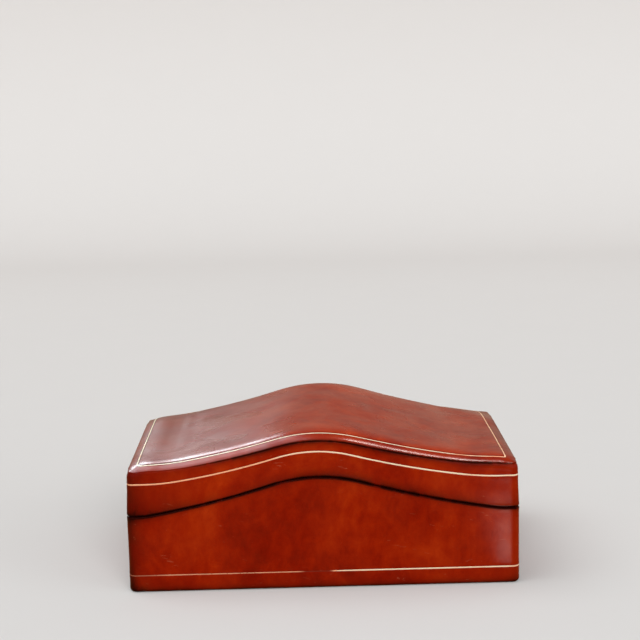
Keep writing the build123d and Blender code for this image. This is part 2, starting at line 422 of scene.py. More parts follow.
@dataclass(frozen=True)
class LidForm:
    """The form that the lid's board, band and padded top share.

    Attributes:
        average_reach: Steps to each side over which the top's curve is averaged.
        average_step: Length of such a step.
        right_drop: How much lower the back of the top is at the right, along x.
        lean: How far the leathers lean in at the top of the sides.
        drawn_in: How far they are drawn in at the crease besides.
        end_drawn_in: How far more at the ends of the lid, along x from the middle.
        drawing_room: Room between crease and board that lets the leathers be drawn in.
        back_sink: How far the crease sinks at the back corners.
        front_sink: How far it sinks at the front corners.
        back_x: Where the back corners are, along x from the middle.
        back_y: Where they are, along y.
        front_x: Where the front corners are, along x from the middle.
        front_y: Where they are, along y to the front.
        least_open: How open the crease is at its left end.
        opening: Where it opens, along x from the left end.
        closing: How far and where it closes up at its right end.
        board_depth: From the top to the upper face of the board.
        board_thickness: Thickness of the board.
        planed: How far the board is planed off at its back corners.
    """

    average_reach: int = 3
    average_step: float = 3.0
    right_drop: Rise = Rise(55.0, 60.0, 1.5)
    lean: float = 0.9
    drawn_in: float = 0.6
    end_drawn_in: Rise = Rise(114.0, 12.0, 0.8)
    drawing_room: Rise = Rise(0.4, 1.1)
    back_sink: float = 3.8
    front_sink: float = 1.1
    back_x: Rise = Rise(96.0, 34.0)
    back_y: Rise = Rise(34.0, 46.0)
    front_x: Rise = Rise(113.0, 16.0)
    front_y: Rise = Rise(62.0, 15.0)
    least_open: float = 0.1
    opening: Rise = Rise(-108.0, 55.0)
    closing: Rise = Rise(116.0, 12.0, 0.6)
    board_depth: float = 5.8
    board_thickness: float = 2.0
    planed: float = 1.8

    def at_back_corner(self, x: float, y: float) -> float:
        """How near a place is to a back corner, from 0 to 1."""
        return self.back_x.at(abs(x)) * self.back_y.at(y)

    def at_front_corner(self, x: float, y: float) -> float:
        """How near a place is to a front corner, from 0 to 1."""
        return self.front_x.at(abs(x)) * self.front_y.at(-y)

    def top(self, x: float, y: float) -> float:
        """Height of the padded top away from its shoulders: softer and lower to the back.

        Args:
            x: Place along the box.
            y: Place across it.

        Returns:
            The height there.
        """
        reach = self.average_reach
        steps = [self.average_step * step for step in range(-reach, reach + 1)]
        ahead = sum(TOP.height(x + step) for step in steps) / len(steps)
        rear = sum(TOP_BEHIND.height(x + step) for step in steps) / len(steps)
        rear -= self.right_drop.at(x)
        return blend(ahead, rear, (y / HALF_DEPTH + 1) / 2)

    def crease(self, x: float, y: float) -> float:
        """Height of the crease round the lid, which sinks at the corners.

        Args:
            x: Place along the box.
            y: Place across it.

        Returns:
            The height there.
        """
        sunk = self.back_sink * self.at_back_corner(x, y)
        sunk += self.front_sink * self.at_front_corner(x, y)
        return CREASE.height(x) - sunk

    def board(self, x: float, y: float) -> float:
        """Height of the upper face of the board."""
        return TOP.height(x) - self.board_depth - self.planed * self.at_back_corner(x, y)

    def open_crease(self, x: float) -> float:
        """How open the crease is, from 0 to 1: it closes up towards the ends, most at the left."""
        return blend(self.least_open, 1.0, self.opening.at(x)) * (1 - self.closing.at(x))

    def crease_lean(self, x: float, y: float) -> float:
        """How far the leathers draw in at the crease, less where the board is right behind.

        Args:
            x: Place along the box.
            y: Place across it.

        Returns:
            The distance.
        """
        room = self.drawing_room.at(self.crease(x, y) - self.board(x, y))
        drawn = self.drawn_in * self.open_crease(x) + self.end_drawn_in.at(abs(x))
        return drawn * max(room, self.at_front_corner(x, y))


LID_FORM = LidForm()


@dataclass(frozen=True)
class ShadeAndBurnish:
    """How dark the leather is painted at the upright corners and the rims: painted shade, with
    burnishing on the rims.

    Attributes:
        corner: Painted shade at every upright corner.
        corner_spread: How far it spreads, squared.
        left: Painted shade added at the left corners.
        left_spread: How far that spreads.
        rim: Darkness on a rim: painted shade in the seam, with burnishing.
        rolled: Painted shade added where the leather rolls over into the seam.
        roll: Where that roll ends, from the outside of the box.
        beside: Where a rim's darkness gives way to the side's, from the rim.
    """

    corner: float = 0.22
    corner_spread: float = 60.0
    left: float = 0.36
    left_spread: float = 14.0
    rim: float = 0.42
    rolled: float = 0.43
    roll: Rise = Rise(0.6, 1.6)
    beside: Rise = Rise(0.2, 1.3)

    def at_corner(self, point: Vector) -> float:
        """Painted shade at the upright corners, more at the left.

        Args:
            point: The place.

        Returns:
            The darkness.
        """
        away = hypot(HALF_LENGTH - abs(point.x), HALF_DEPTH - abs(point.y))
        sharp = self.corner * exp(-(away**2) / self.corner_spread)
        return sharp + (self.left * exp(-away / self.left_spread) if point.x < 0 else 0.0)

    def at_rim(self, point: Vector, away: float, side: float, spread: float) -> float:
        """Painted shade on a rim and on the side beside it, with burnishing on the rim.

        Args:
            point: The place.
            away: How far it is from the rim, up or down the side.
            side: Darkness of the side at the rim.
            spread: How far that spreads.

        Returns:
            The darkness.
        """
        inset = min(HALF_LENGTH - abs(point.x), HALF_DEPTH - abs(point.y))
        on_rim = self.rim + self.rolled * (1 - self.roll.at(inset))
        over = self.beside.at(away)
        return side * exp(-away / spread) * over + on_rim * (1 - over)


SHADE_AND_BURNISH = ShadeAndBurnish()


# ---------------------------------------------------------------------------
# Meshes
# ---------------------------------------------------------------------------


def stand(name: str, data: bpy.types.ID) -> bpy.types.Object:
    """Put a mesh, a light or a camera into the scene.

    Args:
        name: Name of the object.
        data: The mesh, light or camera.

    Returns:
        The object.
    """
    made = bpy.data.objects.new(name, data)
    bpy.context.scene.collection.objects.link(made)
    return made


@dataclass
class MeshDraft:
    """Points in millimetres, faces and marks, gathered before they become a piece.

    Attributes:
        points: The points.
        faces: The faces, by their points' numbers.
        marks: Values from 0 to 1 at each point, by name, that the finishes read.
    """

    points: list[Vector] = field(default_factory=list)
    faces: list[tuple[int, ...]] = field(default_factory=list)
    marks: dict[str, list[float]] = field(default_factory=dict)

    def add_point(self, point: Sequence[float], **marks: float) -> int:
        """Add a point.

        Args:
            point: Its place.
            **marks: Its marks.

        Returns:
            Its number.
        """
        self.points.append(Vector(point))
        for name, value in marks.items():
            row = self.marks.setdefault(name, [])
            row.extend([0.0] * (len(self.points) - 1 - len(row)))
            row.append(value)
        return len(self.points) - 1

    def to_mesh(self, name: str, finish: bpy.types.Material) -> bpy.types.Mesh:
        """The mesh in metres, smooth, with its finish.

        Args:
            name: Name of the mesh.
            finish: Its material.

        Returns:
            The mesh.
        """
        mesh = bpy.data.meshes.new(name)
        mesh.from_pydata([point * MM for point in self.points], [], self.faces)
        for mark, values in self.marks.items():
            values = values + [0.0] * (len(self.points) - len(values))
            layer = mesh.attributes.new(mark, "FLOAT", "POINT")
            layer.data.foreach_set("value", values)
        mesh.shade_smooth()
        mesh.materials.append(finish)
        return mesh

    def to_piece(
        self, name: str, body: Body, slot: Slot, finish: bpy.types.Material
    ) -> bpy.types.Object:
        """Make the piece, give it its finish and let it ride on its body.

        Args:
            name: Name of the piece.
            body: Body it rides on.
            slot: Material slot of the record; not used.
            finish: Its material.

        Returns:
            The piece.
        """
        mesh = self.to_mesh(name, finish)
        mesh.set_sharp_from_angle(angle=radians(SHARP_ANGLE))
        piece = stand(name, mesh)
        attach(piece, body.value)
        log.info("%s: %d points, rides on %s", name, len(self.points), body.value)
        return piece


@dataclass
class Skin:
    """A covering with two faces: a grid of points outside and its counterpart inside.

    Attributes:
        outer: Rows of points on the outside.
        inner: Rows of points on the inside, one for each outside.
        marks: Rows of marks for the outside, by name.
        missing: Cells that are cut away, by row and column.
        closed: Whether the rows run once round and meet.
    """

    outer: Layer
    inner: Layer
    marks: dict[str, list[list[float]]] = field(default_factory=dict)
    missing: set[tuple[int, int]] = field(default_factory=set)
    closed: bool = True

    def draft(self) -> MeshDraft:
        """The closed mesh of both faces and of the edges between them.

        Returns:
            The draft.
        """
        draft = MeshDraft()
        rows, columns = len(self.outer), len(self.outer[0])
        corners: set[tuple[int, int]] = set()
        cells: list[list[tuple[int, int]]] = []
        for row in range(rows - 1):
            for column in range(columns if self.closed else columns - 1):
                if (row, column) in self.missing:
                    continue
                after = (column + 1) % columns
                cell = [(row, column), (row, after), (row + 1, after), (row + 1, column)]
                cells.append(cell)
                corners.update(cell)
        outside: dict[tuple[int, int], int] = {}
        inside: dict[tuple[int, int], int] = {}
        for row, column in sorted(corners):
            marks = {name: layer[row][column] for name, layer in self.marks.items()}
            outside[row, column] = draft.add_point(self.outer[row][column], **marks)
        for row, column in sorted(corners):
            inside[row, column] = draft.add_point(self.inner[row][column])
        sides = set()
        for cell in cells:
            draft.faces.append(tuple(outside[corner] for corner in cell))
            draft.faces.append(tuple(inside[corner] for corner in reversed(cell)))
            sides.update(zip(cell, cell[1:] + cell[:1]))
        for start, end in sorted(sides):
            if (end, start) not in sides:
                draft.faces.append((outside[end], outside[start], inside[start], inside[end]))
        return draft


@dataclass(frozen=True)
class Fillet:
    """A tooled gilt line: a shallow groove with gold laid in it.

    Attributes:
        width: Width of the gold.
        proud: How far its middle stands above the groove.
        sunk: How far its edges lie under the groove.
        flat: Part of the width that is level.
        unevenness: How much the width varies with the hand.
        hand_size: Over what length it varies.
    """

    width: float = 1.0
    proud: float = 0.07
    sunk: float = 0.05
    flat: float = 0.62
    unevenness: float = 0.14
    hand_size: float = 7.0

    def draft(
        self,
        low: Sequence[Vector],
        middle: Sequence[Vector],
        high: Sequence[Vector],
        fade: Shade,
        press: Shade,
    ) -> MeshDraft:
        """Lay the gold along a groove that runs once round.

        Args:
            low: Points on one edge of the groove.
            middle: Points on its bottom.
            high: Points on its other edge.
            fade: How far the gold is rubbed away at a place, from 0 to 1.
            press: How wide the line is pressed at a place, as a part of its width.

        Returns:
            The draft of the gold.
        """
        draft = MeshDraft()
        section = (
            (-1, -self.sunk),
            (-self.flat, self.proud),
            (self.flat, self.proud),
            (1, -self.sunk),
        )
        sides, count = len(section), len(middle)
        for index, centre in enumerate(middle):
            before, after = middle[index - 1], middle[(index + 1) % count]
            across = (high[index] - low[index]).normalized()
            out = (after - before).cross(across).normalized()
            hand = noise.noise(centre / self.hand_size + Vector((0.3, 1.7, 2.9)))
            half = self.width / 2 * (1 + self.unevenness * hand) * press(centre)
            worn = fade(centre)
            for part, lift in section:
                draft.add_point(centre + across * half * part + out * lift, fade=worn)
        for index in range(count):
            start, end = sides * index, sides * ((index + 1) % count)
            for corner in range(sides):
                after = (corner + 1) % sides
                draft.faces.append((start + corner, end + corner, end + after, start + after))
        return draft


@dataclass(frozen=True)
class Wear:
    """Patches where the gold of a tooled line is worn by hands.

    Attributes:
        size: Size of the patches.
        depth: How far they are worn at the most.
        spared: What is taken off that, so that the gold between them stays whole.
    """

    size: float
    depth: float
    spared: float = 0.12

    def at(self, point: Vector) -> float:
        """How far the gold is worn at a place."""
        return max(noise.noise(point / self.size) * self.depth - self.spared, 0.0)


# ---------------------------------------------------------------------------
# Finishes
# ---------------------------------------------------------------------------


class NodeBench:
    """A material's nodes, wired by short calls."""

    def __init__(self, name: str) -> None:
        """Start a material.

        Args:
            name: Name of the material.
        """
        self.material = bpy.data.materials.new(name)
        self.material.use_nodes = True
        self.tree = self.material.node_tree
        self.tree.nodes.clear()
        self.output = self.tree.nodes.new("ShaderNodeOutputMaterial")

    def wire(self, socket: bpy.types.NodeSocket, value: object) -> None:
        """Link a socket to another socket, or set its own value.

        Args:
            socket: The socket.
            value: The other socket, a number, a colour or a vector.
        """
        if isinstance(value, bpy.types.NodeSocket):
            self.tree.links.new(value, socket)
        elif isinstance(value, tuple) and len(value) == 3 and socket.type == "RGBA":
            socket.default_value = (*value, 1.0)
        else:
            socket.default_value = value

    def node(self, kind: str, **inputs: object) -> bpy.types.Node:
        """Add a node.

        Args:
            kind: Its type, without the ShaderNode at the front.
            **inputs: Sockets by name, spaces as underscores.

        Returns:
            The node.
        """
        made = self.tree.nodes.new(f"ShaderNode{kind}")
        for name, value in inputs.items():
            self.wire(made.inputs[name.replace("_", " ")], value)
        return made

    def places(self, stretch: Place = (1, 1, 1)) -> bpy.types.NodeSocket:
        """The place on the piece in metres, stretched along the axes.

        Args:
            stretch: How much denser it is along each axis.

        Returns:
            The place.
        """
        coordinates = self.node("TexCoord").outputs["Object"]
        mapping = self.node("Mapping", Vector=coordinates, Scale=stretch)
        return mapping.outputs["Vector"]

    def cloud(
        self,
        size: float,
        detail: float = 3.0,
        roughness: float = 0.55,
        distortion: float = 0.0,
        stretch: Place = (1, 1, 1),
    ) -> bpy.types.NodeSocket:
        """Noise with spots of about a size.

        Args:
            size: Size of the spots in millimetres.
            detail: How many finer layers it has.
            roughness: How strong the finer layers are.
            distortion: How far it is swirled.
            stretch: How much denser it is along each axis.

        Returns:
            The noise, mostly from 0.3 to 0.7.
        """
        made = self.node(
            "TexNoise",
            Vector=self.places(stretch),
            Scale=1000.0 / size,
            Detail=detail,
            Roughness=roughness,
            Distortion=distortion,
        )
        return made.outputs["Fac"]

    def ramp(
        self, value: bpy.types.NodeSocket, stops: Sequence[tuple[float, Colour]]
    ) -> bpy.types.NodeSocket:
        """Colours along a value.

        Args:
            value: The value.
            stops: The colours and their places along it, in order.

        Returns:
            The colour.
        """
        made = self.node("ValToRGB", Fac=value)
        elements = made.color_ramp.elements
        while len(elements) < len(stops):
            elements.new(0.5)
        for element, (place, colour) in zip(elements, stops):
            element.position = place
            element.color = (*colour, 1.0)
        return made.outputs["Color"]

    def span(
        self,
        value: bpy.types.NodeSocket,
        low: float,
        high: float,
        to_low: float = 0.0,
        to_high: float = 1.0,
    ) -> bpy.types.NodeSocket:
        """A value from one span brought to another, eased and held at its ends.

        Args:
            value: The value.
            low: Where its span starts.
            high: Where its span ends.
            to_low: What it becomes up to the start.
            to_high: What it becomes from the end on.

        Returns:
            The value in its new span.
        """
        made = self.node(
            "MapRange",
            Value=value,
            From_Min=low,
            From_Max=high,
            To_Min=to_low,
            To_Max=to_high,
        )
        made.interpolation_type = "SMOOTHSTEP"
        return made.outputs["Result"]

    def maths(self, operation: str, first: object, second: object = 0.0) -> bpy.types.NodeSocket:
        """One step of arithmetic.

        Args:
            operation: What is done, by its name in Blender.
            first: The first value.
            second: The second value.

        Returns:
            The result.
        """
        made = self.tree.nodes.new("ShaderNodeMath")
        made.operation = operation
        self.wire(made.inputs[0], first)
        self.wire(made.inputs[1], second)
        return made.outputs["Value"]

    def total(self, *parts: tuple[bpy.types.NodeSocket, float]) -> bpy.types.NodeSocket:
        """Values added up, each by its weight.

        Args:
            *parts: The values with their weights.

        Returns:
            The sum.
        """
        value, weight = parts[0]
        added = self.maths("MULTIPLY", value, weight)
        for value, weight in parts[1:]:
            added = self.maths("ADD", added, self.maths("MULTIPLY", value, weight))
        return added

    def mix(self, part: object, first: object, second: object) -> bpy.types.NodeSocket:
        """Two colours mixed.

        Args:
            part: How much there is of the second colour, from 0 to 1.
            first: The first colour.
            second: The second colour.

        Returns:
            The colour between them.
        """
        made = self.tree.nodes.new("ShaderNodeMix")
        made.data_type = "RGBA"
        self.wire(made.inputs["Factor"], part)
        self.wire(made.inputs[6], first)
        self.wire(made.inputs[7], second)
        return made.outputs[2]

    def mark(self, name: str) -> bpy.types.NodeSocket:
        """A mark that the mesh carries.

        Args:
            name: Its name.

        Returns:
            Its value.
        """
        made = self.tree.nodes.new("ShaderNodeAttribute")
        made.attribute_name = name
        return made.outputs["Fac"]

    def bump(
        self,
        height: bpy.types.NodeSocket,
        depth: float,
        strength: float = 1.0,
        under: bpy.types.NodeSocket | None = None,
    ) -> bpy.types.NodeSocket:
        """Relief of a depth.

        Args:
            height: Its height, from 0 to 1.
            depth: Its depth in millimetres.
            strength: How strongly it shows.
            under: Relief that it lies on.

        Returns:
            The normal.
        """
        made = self.node("Bump", Height=height, Distance=depth * MM, Strength=strength)
        if under is not None:
            self.wire(made.inputs["Normal"], under)
        return made.outputs["Normal"]

    def finish(self, **inputs: object) -> bpy.types.Material:
        """Close the material with one principled shader.

        Args:
            **inputs: Sockets of the shader by name, spaces as underscores.

        Returns:
            The material.
        """
        shader = self.node("BsdfPrincipled", **inputs)
        self.wire(self.output.inputs["Surface"], shader.outputs["BSDF"])
        return self.material


@dataclass(frozen=True)
class GlazedCalf:
    """Smooth glazed calf, hand-dyed in cloudy chestnut, with painted shade and burnishing at its
    edges and painted light on top.

    Attributes:
        name: Name of the material.
        deep: The dye where it lies thickest.
        chestnut: The dye over much of it.
        warm: The dye where it is thinner.
        tan: The dye where it is thinnest.
        top_light_colour: Its colour where painted light lightens the top.
        burnished_and_shaded: Its colour under burnishing and under painted shade.
        scuff: Its colour where it is scuffed.
        cloud_size: Size of the clouds in the dye.
        pore_size: Size of the pores.
        shine: Colour of the shine under the glaze.
        roughness: Roughness under the glaze, least and most.
        glaze: How strong the glaze is.
        glaze_roughness: Roughness of the glaze.
    """

    name: str = "glazed_calf"
    deep: Colour = (0.16, 0.003, 0.0003)
    chestnut: Colour = (0.235, 0.0065, 0.0004)
    warm: Colour = (0.30, 0.012, 0.0006)
    tan: Colour = (0.38, 0.025, 0.0016)
    top_light_colour: Colour = (0.52, 0.052, 0.012)
    burnished_and_shaded: Colour = (0.018, 0.0012, 0.0008)
    scuff: Colour = (0.52, 0.17, 0.09)
    cloud_size: float = 50.0
    pore_size: float = 0.6
    shine: Colour = (1.0, 0.30, 0.15)
    roughness: tuple[float, float] = (0.24, 0.36)
    glaze: float = 1.0
    glaze_roughness: float = 0.19

    def make(self) -> bpy.types.Material:
        """Build the material.

        Returns:
            The material.
        """
        bench = NodeBench(self.name)
        clouds = bench.cloud(
            self.cloud_size, detail=6.0, roughness=0.58, distortion=0.7, stretch=(1.0, 1.0, 0.8)
        )
        dapple = bench.cloud(
            9.0, detail=5.0, roughness=0.65, distortion=0.3, stretch=(1.0, 1.0, 0.7)
        )
        # Painted light: the mark added here lightens the top inside its gilt border.
        shade = bench.total((clouds, 0.64), (dapple, 0.36), (bench.mark("painted_top_light"), 0.11))
        colour = bench.ramp(
            shade,
            [
                (0.34, self.deep),
                (0.45, self.chestnut),
                (0.54, self.warm),
                (0.66, self.tan),
                (0.84, self.top_light_colour),
            ],
        )
        # Painted shade, with burnishing: the mark read here darkens the calf in the seam, under the
        # crease, at the foot, at the corners, on the top's rolled edge and to the left.
        shade_and_burnish = bench.mark("shade_and_burnish")
        dappled_shade_and_burnish = bench.maths("MULTIPLY", shade_and_burnish, bench.span(dapple, 0.25, 0.6, 0.75, 1.2))
        colour = bench.mix(bench.span(dappled_shade_and_burnish, 0.05, 0.95), colour, self.burnished_and_shaded)
        scratches = bench.cloud(
            5.0, detail=5.0, roughness=0.7, distortion=1.5, stretch=(0.35, 0.6, 1.4)
        )
        scuffed = bench.span(scratches, 0.64, 0.74, 0.0, 0.32)
        colour = bench.mix(scuffed, colour, self.scuff)
        sheen = bench.cloud(32.0, detail=2.0, roughness=0.5)
        rough = bench.span(sheen, 0.3, 0.7, *self.roughness)
        rough = bench.maths("ADD", rough, bench.maths("MULTIPLY", scuffed, 0.12))
        pores = bench.cloud(self.pore_size, detail=2.0, roughness=0.5)
        waves = bench.cloud(9.0, detail=3.0, roughness=0.5)
        relief = bench.bump(waves, 0.03, 0.5)
        relief = bench.bump(pores, 0.004, 0.4, relief)
        rubbing = bench.cloud(24.0, detail=4.0, roughness=0.6, distortion=0.5)
        polished = bench.span(rubbing, 0.36, 0.62, 0.55, 1.0)
        glazed = bench.span(shade_and_burnish, 0.3, 0.9, self.glaze, 0.2)
        return bench.finish(
            Base_Color=colour,
            Roughness=rough,
            Normal=relief,
            IOR=1.33,
            Specular_IOR_Level=0.25,
            Specular_Tint=self.shine,
            Coat_Weight=bench.maths("MULTIPLY", glazed, polished),
            Coat_Roughness=self.glaze_roughness,
            Coat_IOR=1.4,
        )


@dataclass(frozen=True)
class GoldTooling:
    """Gold leaf tooled into the calf, rubbed through in places.

    Attributes:
        name: Name of the material.
        gold: Colour of whole leaf.
        dull: Its colour where it is thin.
        calf: The calf that shows where it is rubbed through.
        roughness: Its roughness, least and most.
    """

    name: str = "gold_tooling"
    gold: Colour = (1.0, 0.90, 0.66)
    dull: Colour = (1.0, 0.54, 0.31)
    calf: Colour = (0.20, 0.014, 0.004)
    roughness: tuple[float, float] = (0.34, 0.55)

    def make(self) -> bpy.types.Material:
        """Build the material.

        Returns:
            The material.
        """
        bench = NodeBench(self.name)
        flecks = bench.cloud(1.6, detail=3.0, roughness=0.6)
        drift = bench.cloud(14.0, detail=3.0, roughness=0.6)
        fade = bench.mark("fade")
        rubbed = bench.maths("ADD", fade, bench.span(flecks, 0.60, 0.78, 0.0, 0.5))
        drifted = bench.span(drift, 0.42, 0.75, 0.0, 0.4)
        thin = bench.maths("ADD", bench.span(fade, 0.0, 0.35), drifted)
        colour = bench.mix(thin, self.gold, self.dull)
        colour = bench.mix(bench.span(rubbed, 0.25, 0.95), colour, self.calf)
        return bench.finish(
            Base_Color=colour,
            Metallic=bench.span(rubbed, 0.1, 0.8, 0.15, 0.0),
            Roughness=bench.span(drift, 0.3, 0.7, *self.roughness),
            Normal=bench.bump(flecks, 0.03, 0.5),
        )


@dataclass(frozen=True)
class SuedeLining:
    """Suede-finished lining with a short nap, brushed unevenly."""

    name: str = "suede_lining"
    pale: Colour = (0.45, 0.27, 0.14)
    dark: Colour = (0.29, 0.155, 0.07)

    def make(self) -> bpy.types.Material:
        """Build the material.

        Returns:
            The material.
        """
        bench = NodeBench(self.name)
        brushed = bench.cloud(42.0, detail=3.0, roughness=0.5)
        nap = bench.cloud(0.7, detail=3.0, roughness=0.6)
        colour = bench.mix(bench.span(brushed, 0.25, 0.70, 0.45, 1.0), self.dark, self.pale)
        colour = bench.mix(bench.span(nap, 0.3, 0.7, 0.0, 0.35), colour, self.dark)
        return bench.finish(
            Base_Color=colour,
            Roughness=bench.span(nap, 0.3, 0.7, 0.82, 0.96),
            Normal=bench.bump(nap, 0.12, 0.6),
            Sheen_Weight=0.35,
            Sheen_Roughness=0.5,
        )


@dataclass(frozen=True)
class Baize:
    """Felted wool cloth under the box."""

    name: str = "baize"
    pale: Colour = (0.16, 0.10, 0.063)
    dark: Colour = (0.085, 0.052, 0.032)

    def make(self) -> bpy.types.Material:
        """Build the material.

        Returns:
            The material.
        """
        bench = NodeBench(self.name)
        fibres = bench.cloud(
            0.9, detail=4.0, roughness=0.7, distortion=1.6, stretch=(1.0, 0.55, 1.0)
        )
        patches = bench.cloud(18.0, detail=3.0, roughness=0.6)
        colour = bench.mix(bench.span(fibres, 0.3, 0.7), self.dark, self.pale)
        colour = bench.mix(bench.span(patches, 0.4, 0.75, 0.0, 0.4), colour, self.dark)
        return bench.finish(
            Base_Color=colour,
            Roughness=bench.span(patches, 0.3, 0.7, 0.85, 0.97),
            Normal=bench.bump(fibres, 0.2, 0.7),
            Sheen_Weight=0.5,
            Sheen_Roughness=0.45,
        )


@dataclass(frozen=True)
class CarcassWood:
    """Plain limewood boards, with the grain along the box."""

    name: str = "carcass_wood"
    pale: Colour = (0.50, 0.34, 0.19)
    dark: Colour = (0.31, 0.18, 0.085)

    def make(self) -> bpy.types.Material:
        """Build the material.

        Returns:
            The material.
        """
        bench = NodeBench(self.name)
        rings = bench.cloud(
            6.0, detail=4.0, roughness=0.6, distortion=1.2, stretch=(0.06, 1.0, 1.0)
        )
        fibres = bench.cloud(0.8, detail=3.0, roughness=0.6, stretch=(0.04, 1.0, 1.0))
        colour = bench.mix(bench.span(rings, 0.35, 0.68), self.pale, self.dark)
        colour = bench.mix(bench.span(fibres, 0.45, 0.75, 0.0, 0.5), colour, self.dark)
        return bench.finish(
            Base_Color=colour,
            Roughness=bench.span(fibres, 0.3, 0.7, 0.55, 0.75),
            Normal=bench.bump(fibres, 0.05, 0.5),
        )


@dataclass(frozen=True)
class AgedBrass:
    """Drawn brass, polished and gone brown in patches."""

    name: str = "aged_brass"
    bright: Colour = (0.78, 0.53, 0.22)
    brown: Colour = (0.34, 0.19, 0.07)
    roughness: tuple[float, float] = (0.22, 0.42)

    def make(self) -> bpy.types.Material:
        """Build the material.

        Returns:
            The material.
        """
        bench = NodeBench(self.name)
        tarnish = bench.cloud(9.0, detail=3.0, roughness=0.5)
        drawn = bench.cloud(0.35, detail=2.0, roughness=0.5, stretch=(0.05, 1.0, 1.0))
        colour = bench.mix(bench.span(tarnish, 0.42, 0.72), self.bright, self.brown)
        return bench.finish(
            Base_Color=colour,
            Metallic=1.0,
            Roughness=bench.span(tarnish, 0.3, 0.7, *self.roughness),
            Normal=bench.bump(drawn, 0.008, 0.3),
        )


@dataclass(frozen=True)
class StudioPaper:
    """Plain pale paper that sweeps up behind the box, and shows warmer in the leather's gloss.

    Attributes:
        name: Name of the material.
        colour: Its colour.
        tooth: Colour of its tooth.
        floor_mirrored: How it shows in the gloss where it lies under the box.
        wall_mirrored: How it shows there where it stands behind the box.
    """

    name: str = "studio_paper"
    colour: Colour = (0.68, 0.67, 0.655)
    tooth: Colour = (0.61, 0.60, 0.585)
    floor_mirrored: Colour = (0.30, 0.13, 0.04)
    wall_mirrored: Colour = (0.33, 0.24, 0.185)

    def make(self) -> bpy.types.Material:
        """Build the material.

        Returns:
            The material.
        """
        bench = NodeBench(self.name)
        fibres = bench.cloud(60.0, detail=4.0, roughness=0.5)
        toothed = bench.span(fibres, 0.3, 0.7, 0.0, 0.04)
        colour = bench.mix(toothed, self.colour, self.tooth)
        across = bench.node("SeparateXYZ", Vector=bench.places()).outputs["Y"]
        mirrored = bench.mix(bench.span(across, 0.2, 1.4), self.floor_mirrored, self.wall_mirrored)
        seen_itself = bench.node("LightPath").outputs["Is Camera Ray"]
        return bench.finish(
            Base_Color=bench.mix(seen_itself, mirrored, colour),
            Roughness=0.9,
            Specular_IOR_Level=0.0,
        )


@dataclass
class Finishes:
    """One of each finish, made once."""

    calf: bpy.types.Material = field(default_factory=GlazedCalf().make)
    gold: bpy.types.Material = field(default_factory=GoldTooling().make)
    suede: bpy.types.Material = field(default_factory=SuedeLining().make)
    baize: bpy.types.Material = field(default_factory=Baize().make)
    wood: bpy.types.Material = field(default_factory=CarcassWood().make)
    brass: bpy.types.Material = field(default_factory=AgedBrass().make)
    paper: bpy.types.Material = field(default_factory=StudioPaper().make)


# ---------------------------------------------------------------------------
# Coverings of the base and of the lid's sides
# ---------------------------------------------------------------------------


@dataclass(frozen=True)
class Row:
    """One line of a covering, once round the box.

    Attributes:
        inset: How far in it lies from the sides.
        level: 0 at the covering's lower guide, 1 at its gilt line, 2 at its upper guide.
        offset: How far it lies above that level.
        inner_inset: How far in the back of the leather lies.
        inner_offset: How far above the same level that lies.
        softness: How much the leather undulates there.
    """

    inset: float
    level: float
    offset: float
    inner_inset: float
    inner_offset: float
    softness: float = 0.0


@dataclass
class SideCovering:
    """Leather drawn round the sides of the box between two guides, with a gilt line.

    Attributes:
        low: Guide of its lower edge.
        line: Guide of its gilt line.
        high: Guide of its upper edge.
        outline: Plan that it is drawn round.
        swell: Depth of its undulations.
        thinnest: Thickness that it is never pared below.
        mortised: Insets between which its rows are cut away for the hinges.
    """

    low: Guide
    line: Guide
    high: Guide
    outline: Outline = field(default_factory=Outline)
    swell: float = 0.16
    thinnest: float = 0.35
    mortised: tuple[float, float] = (0.85, 8.75)

    def height(self, level: float, x: float, y: float) -> float:
        """Height of a level at a place.

        Args:
            level: The level, from 0 to 2.
            x: Place along the box.
            y: Place across it.

        Returns:
            The height.
        """
        if level <= 1:
            return blend(self.low(x, y), self.line(x, y), level)
        return blend(self.line(x, y), self.high(x, y), level - 1)

    def lean(self, x: float, y: float, z: float) -> float:
        """How far the side leans in at a place: the base's stands upright."""
        return 0.0

    def outside(self, row: Row, station: Station) -> Vector:
        """The outside of the leather on a row at a station.

        Args:
            row: The row.
            station: The upright line.

        Returns:
            The point.
        """
        x, y = self.outline.point(station, row.inset)
        z = self.height(row.level, x, y) + row.offset
        extra = self.lean(x, y, z) + row.softness * self.swell * (1 + undulation(x, y, z))
        x, y = self.outline.point(station, row.inset + extra)
        return Vector((x, y, z))

    def inside(self, row: Row, station: Station) -> Vector:
        """The back of the leather on a row at a station.

        Args:
            row: The row.
            station: The upright line.

        Returns:
            The point.
        """
        outer_x, outer_y = self.outline.point(station, row.inset)
        z = self.height(row.level, outer_x, outer_y) + row.inner_offset
        pared = row.inset + self.lean(outer_x, outer_y, z) + self.thinnest
        x, y = self.outline.point(station, max(row.inner_inset, pared))
        return Vector((x, y, z))

    def skin(self, rows: Sequence[Row], shade_and_burnish: Shade) -> Skin:
        """The covering's two faces.

        Args:
            rows: Its rows, in order from its first edge to its last.
            shade_and_burnish: How dark the leather is at a place, from 0 to 1, by painted shade and
                burnishing.

        Returns:
            The skin, with the hinge mortises cut away.
        """
        stations = self.outline.stations
        outer = [[self.outside(row, station) for station in stations] for row in rows]
        inner = [[self.inside(row, station) for station in stations] for row in rows]
        marks = [[shade_and_burnish(point) for point in row] for row in outer]
        first, last = self.mortised
        missing = set()
        for index, (row, after) in enumerate(zip(rows, rows[1:])):
            if min(row.inset, after.inset) < first or max(row.inset, after.inset) > last:
                continue
            for column in range(len(stations)):
                middle = (outer[index][column] + outer[index][(column + 1) % len(stations)]) / 2
                if in_hinge_mortise(middle.x, middle.y):
                    missing.add((index, column))
        return Skin(outer, inner, {"shade_and_burnish": marks}, missing)


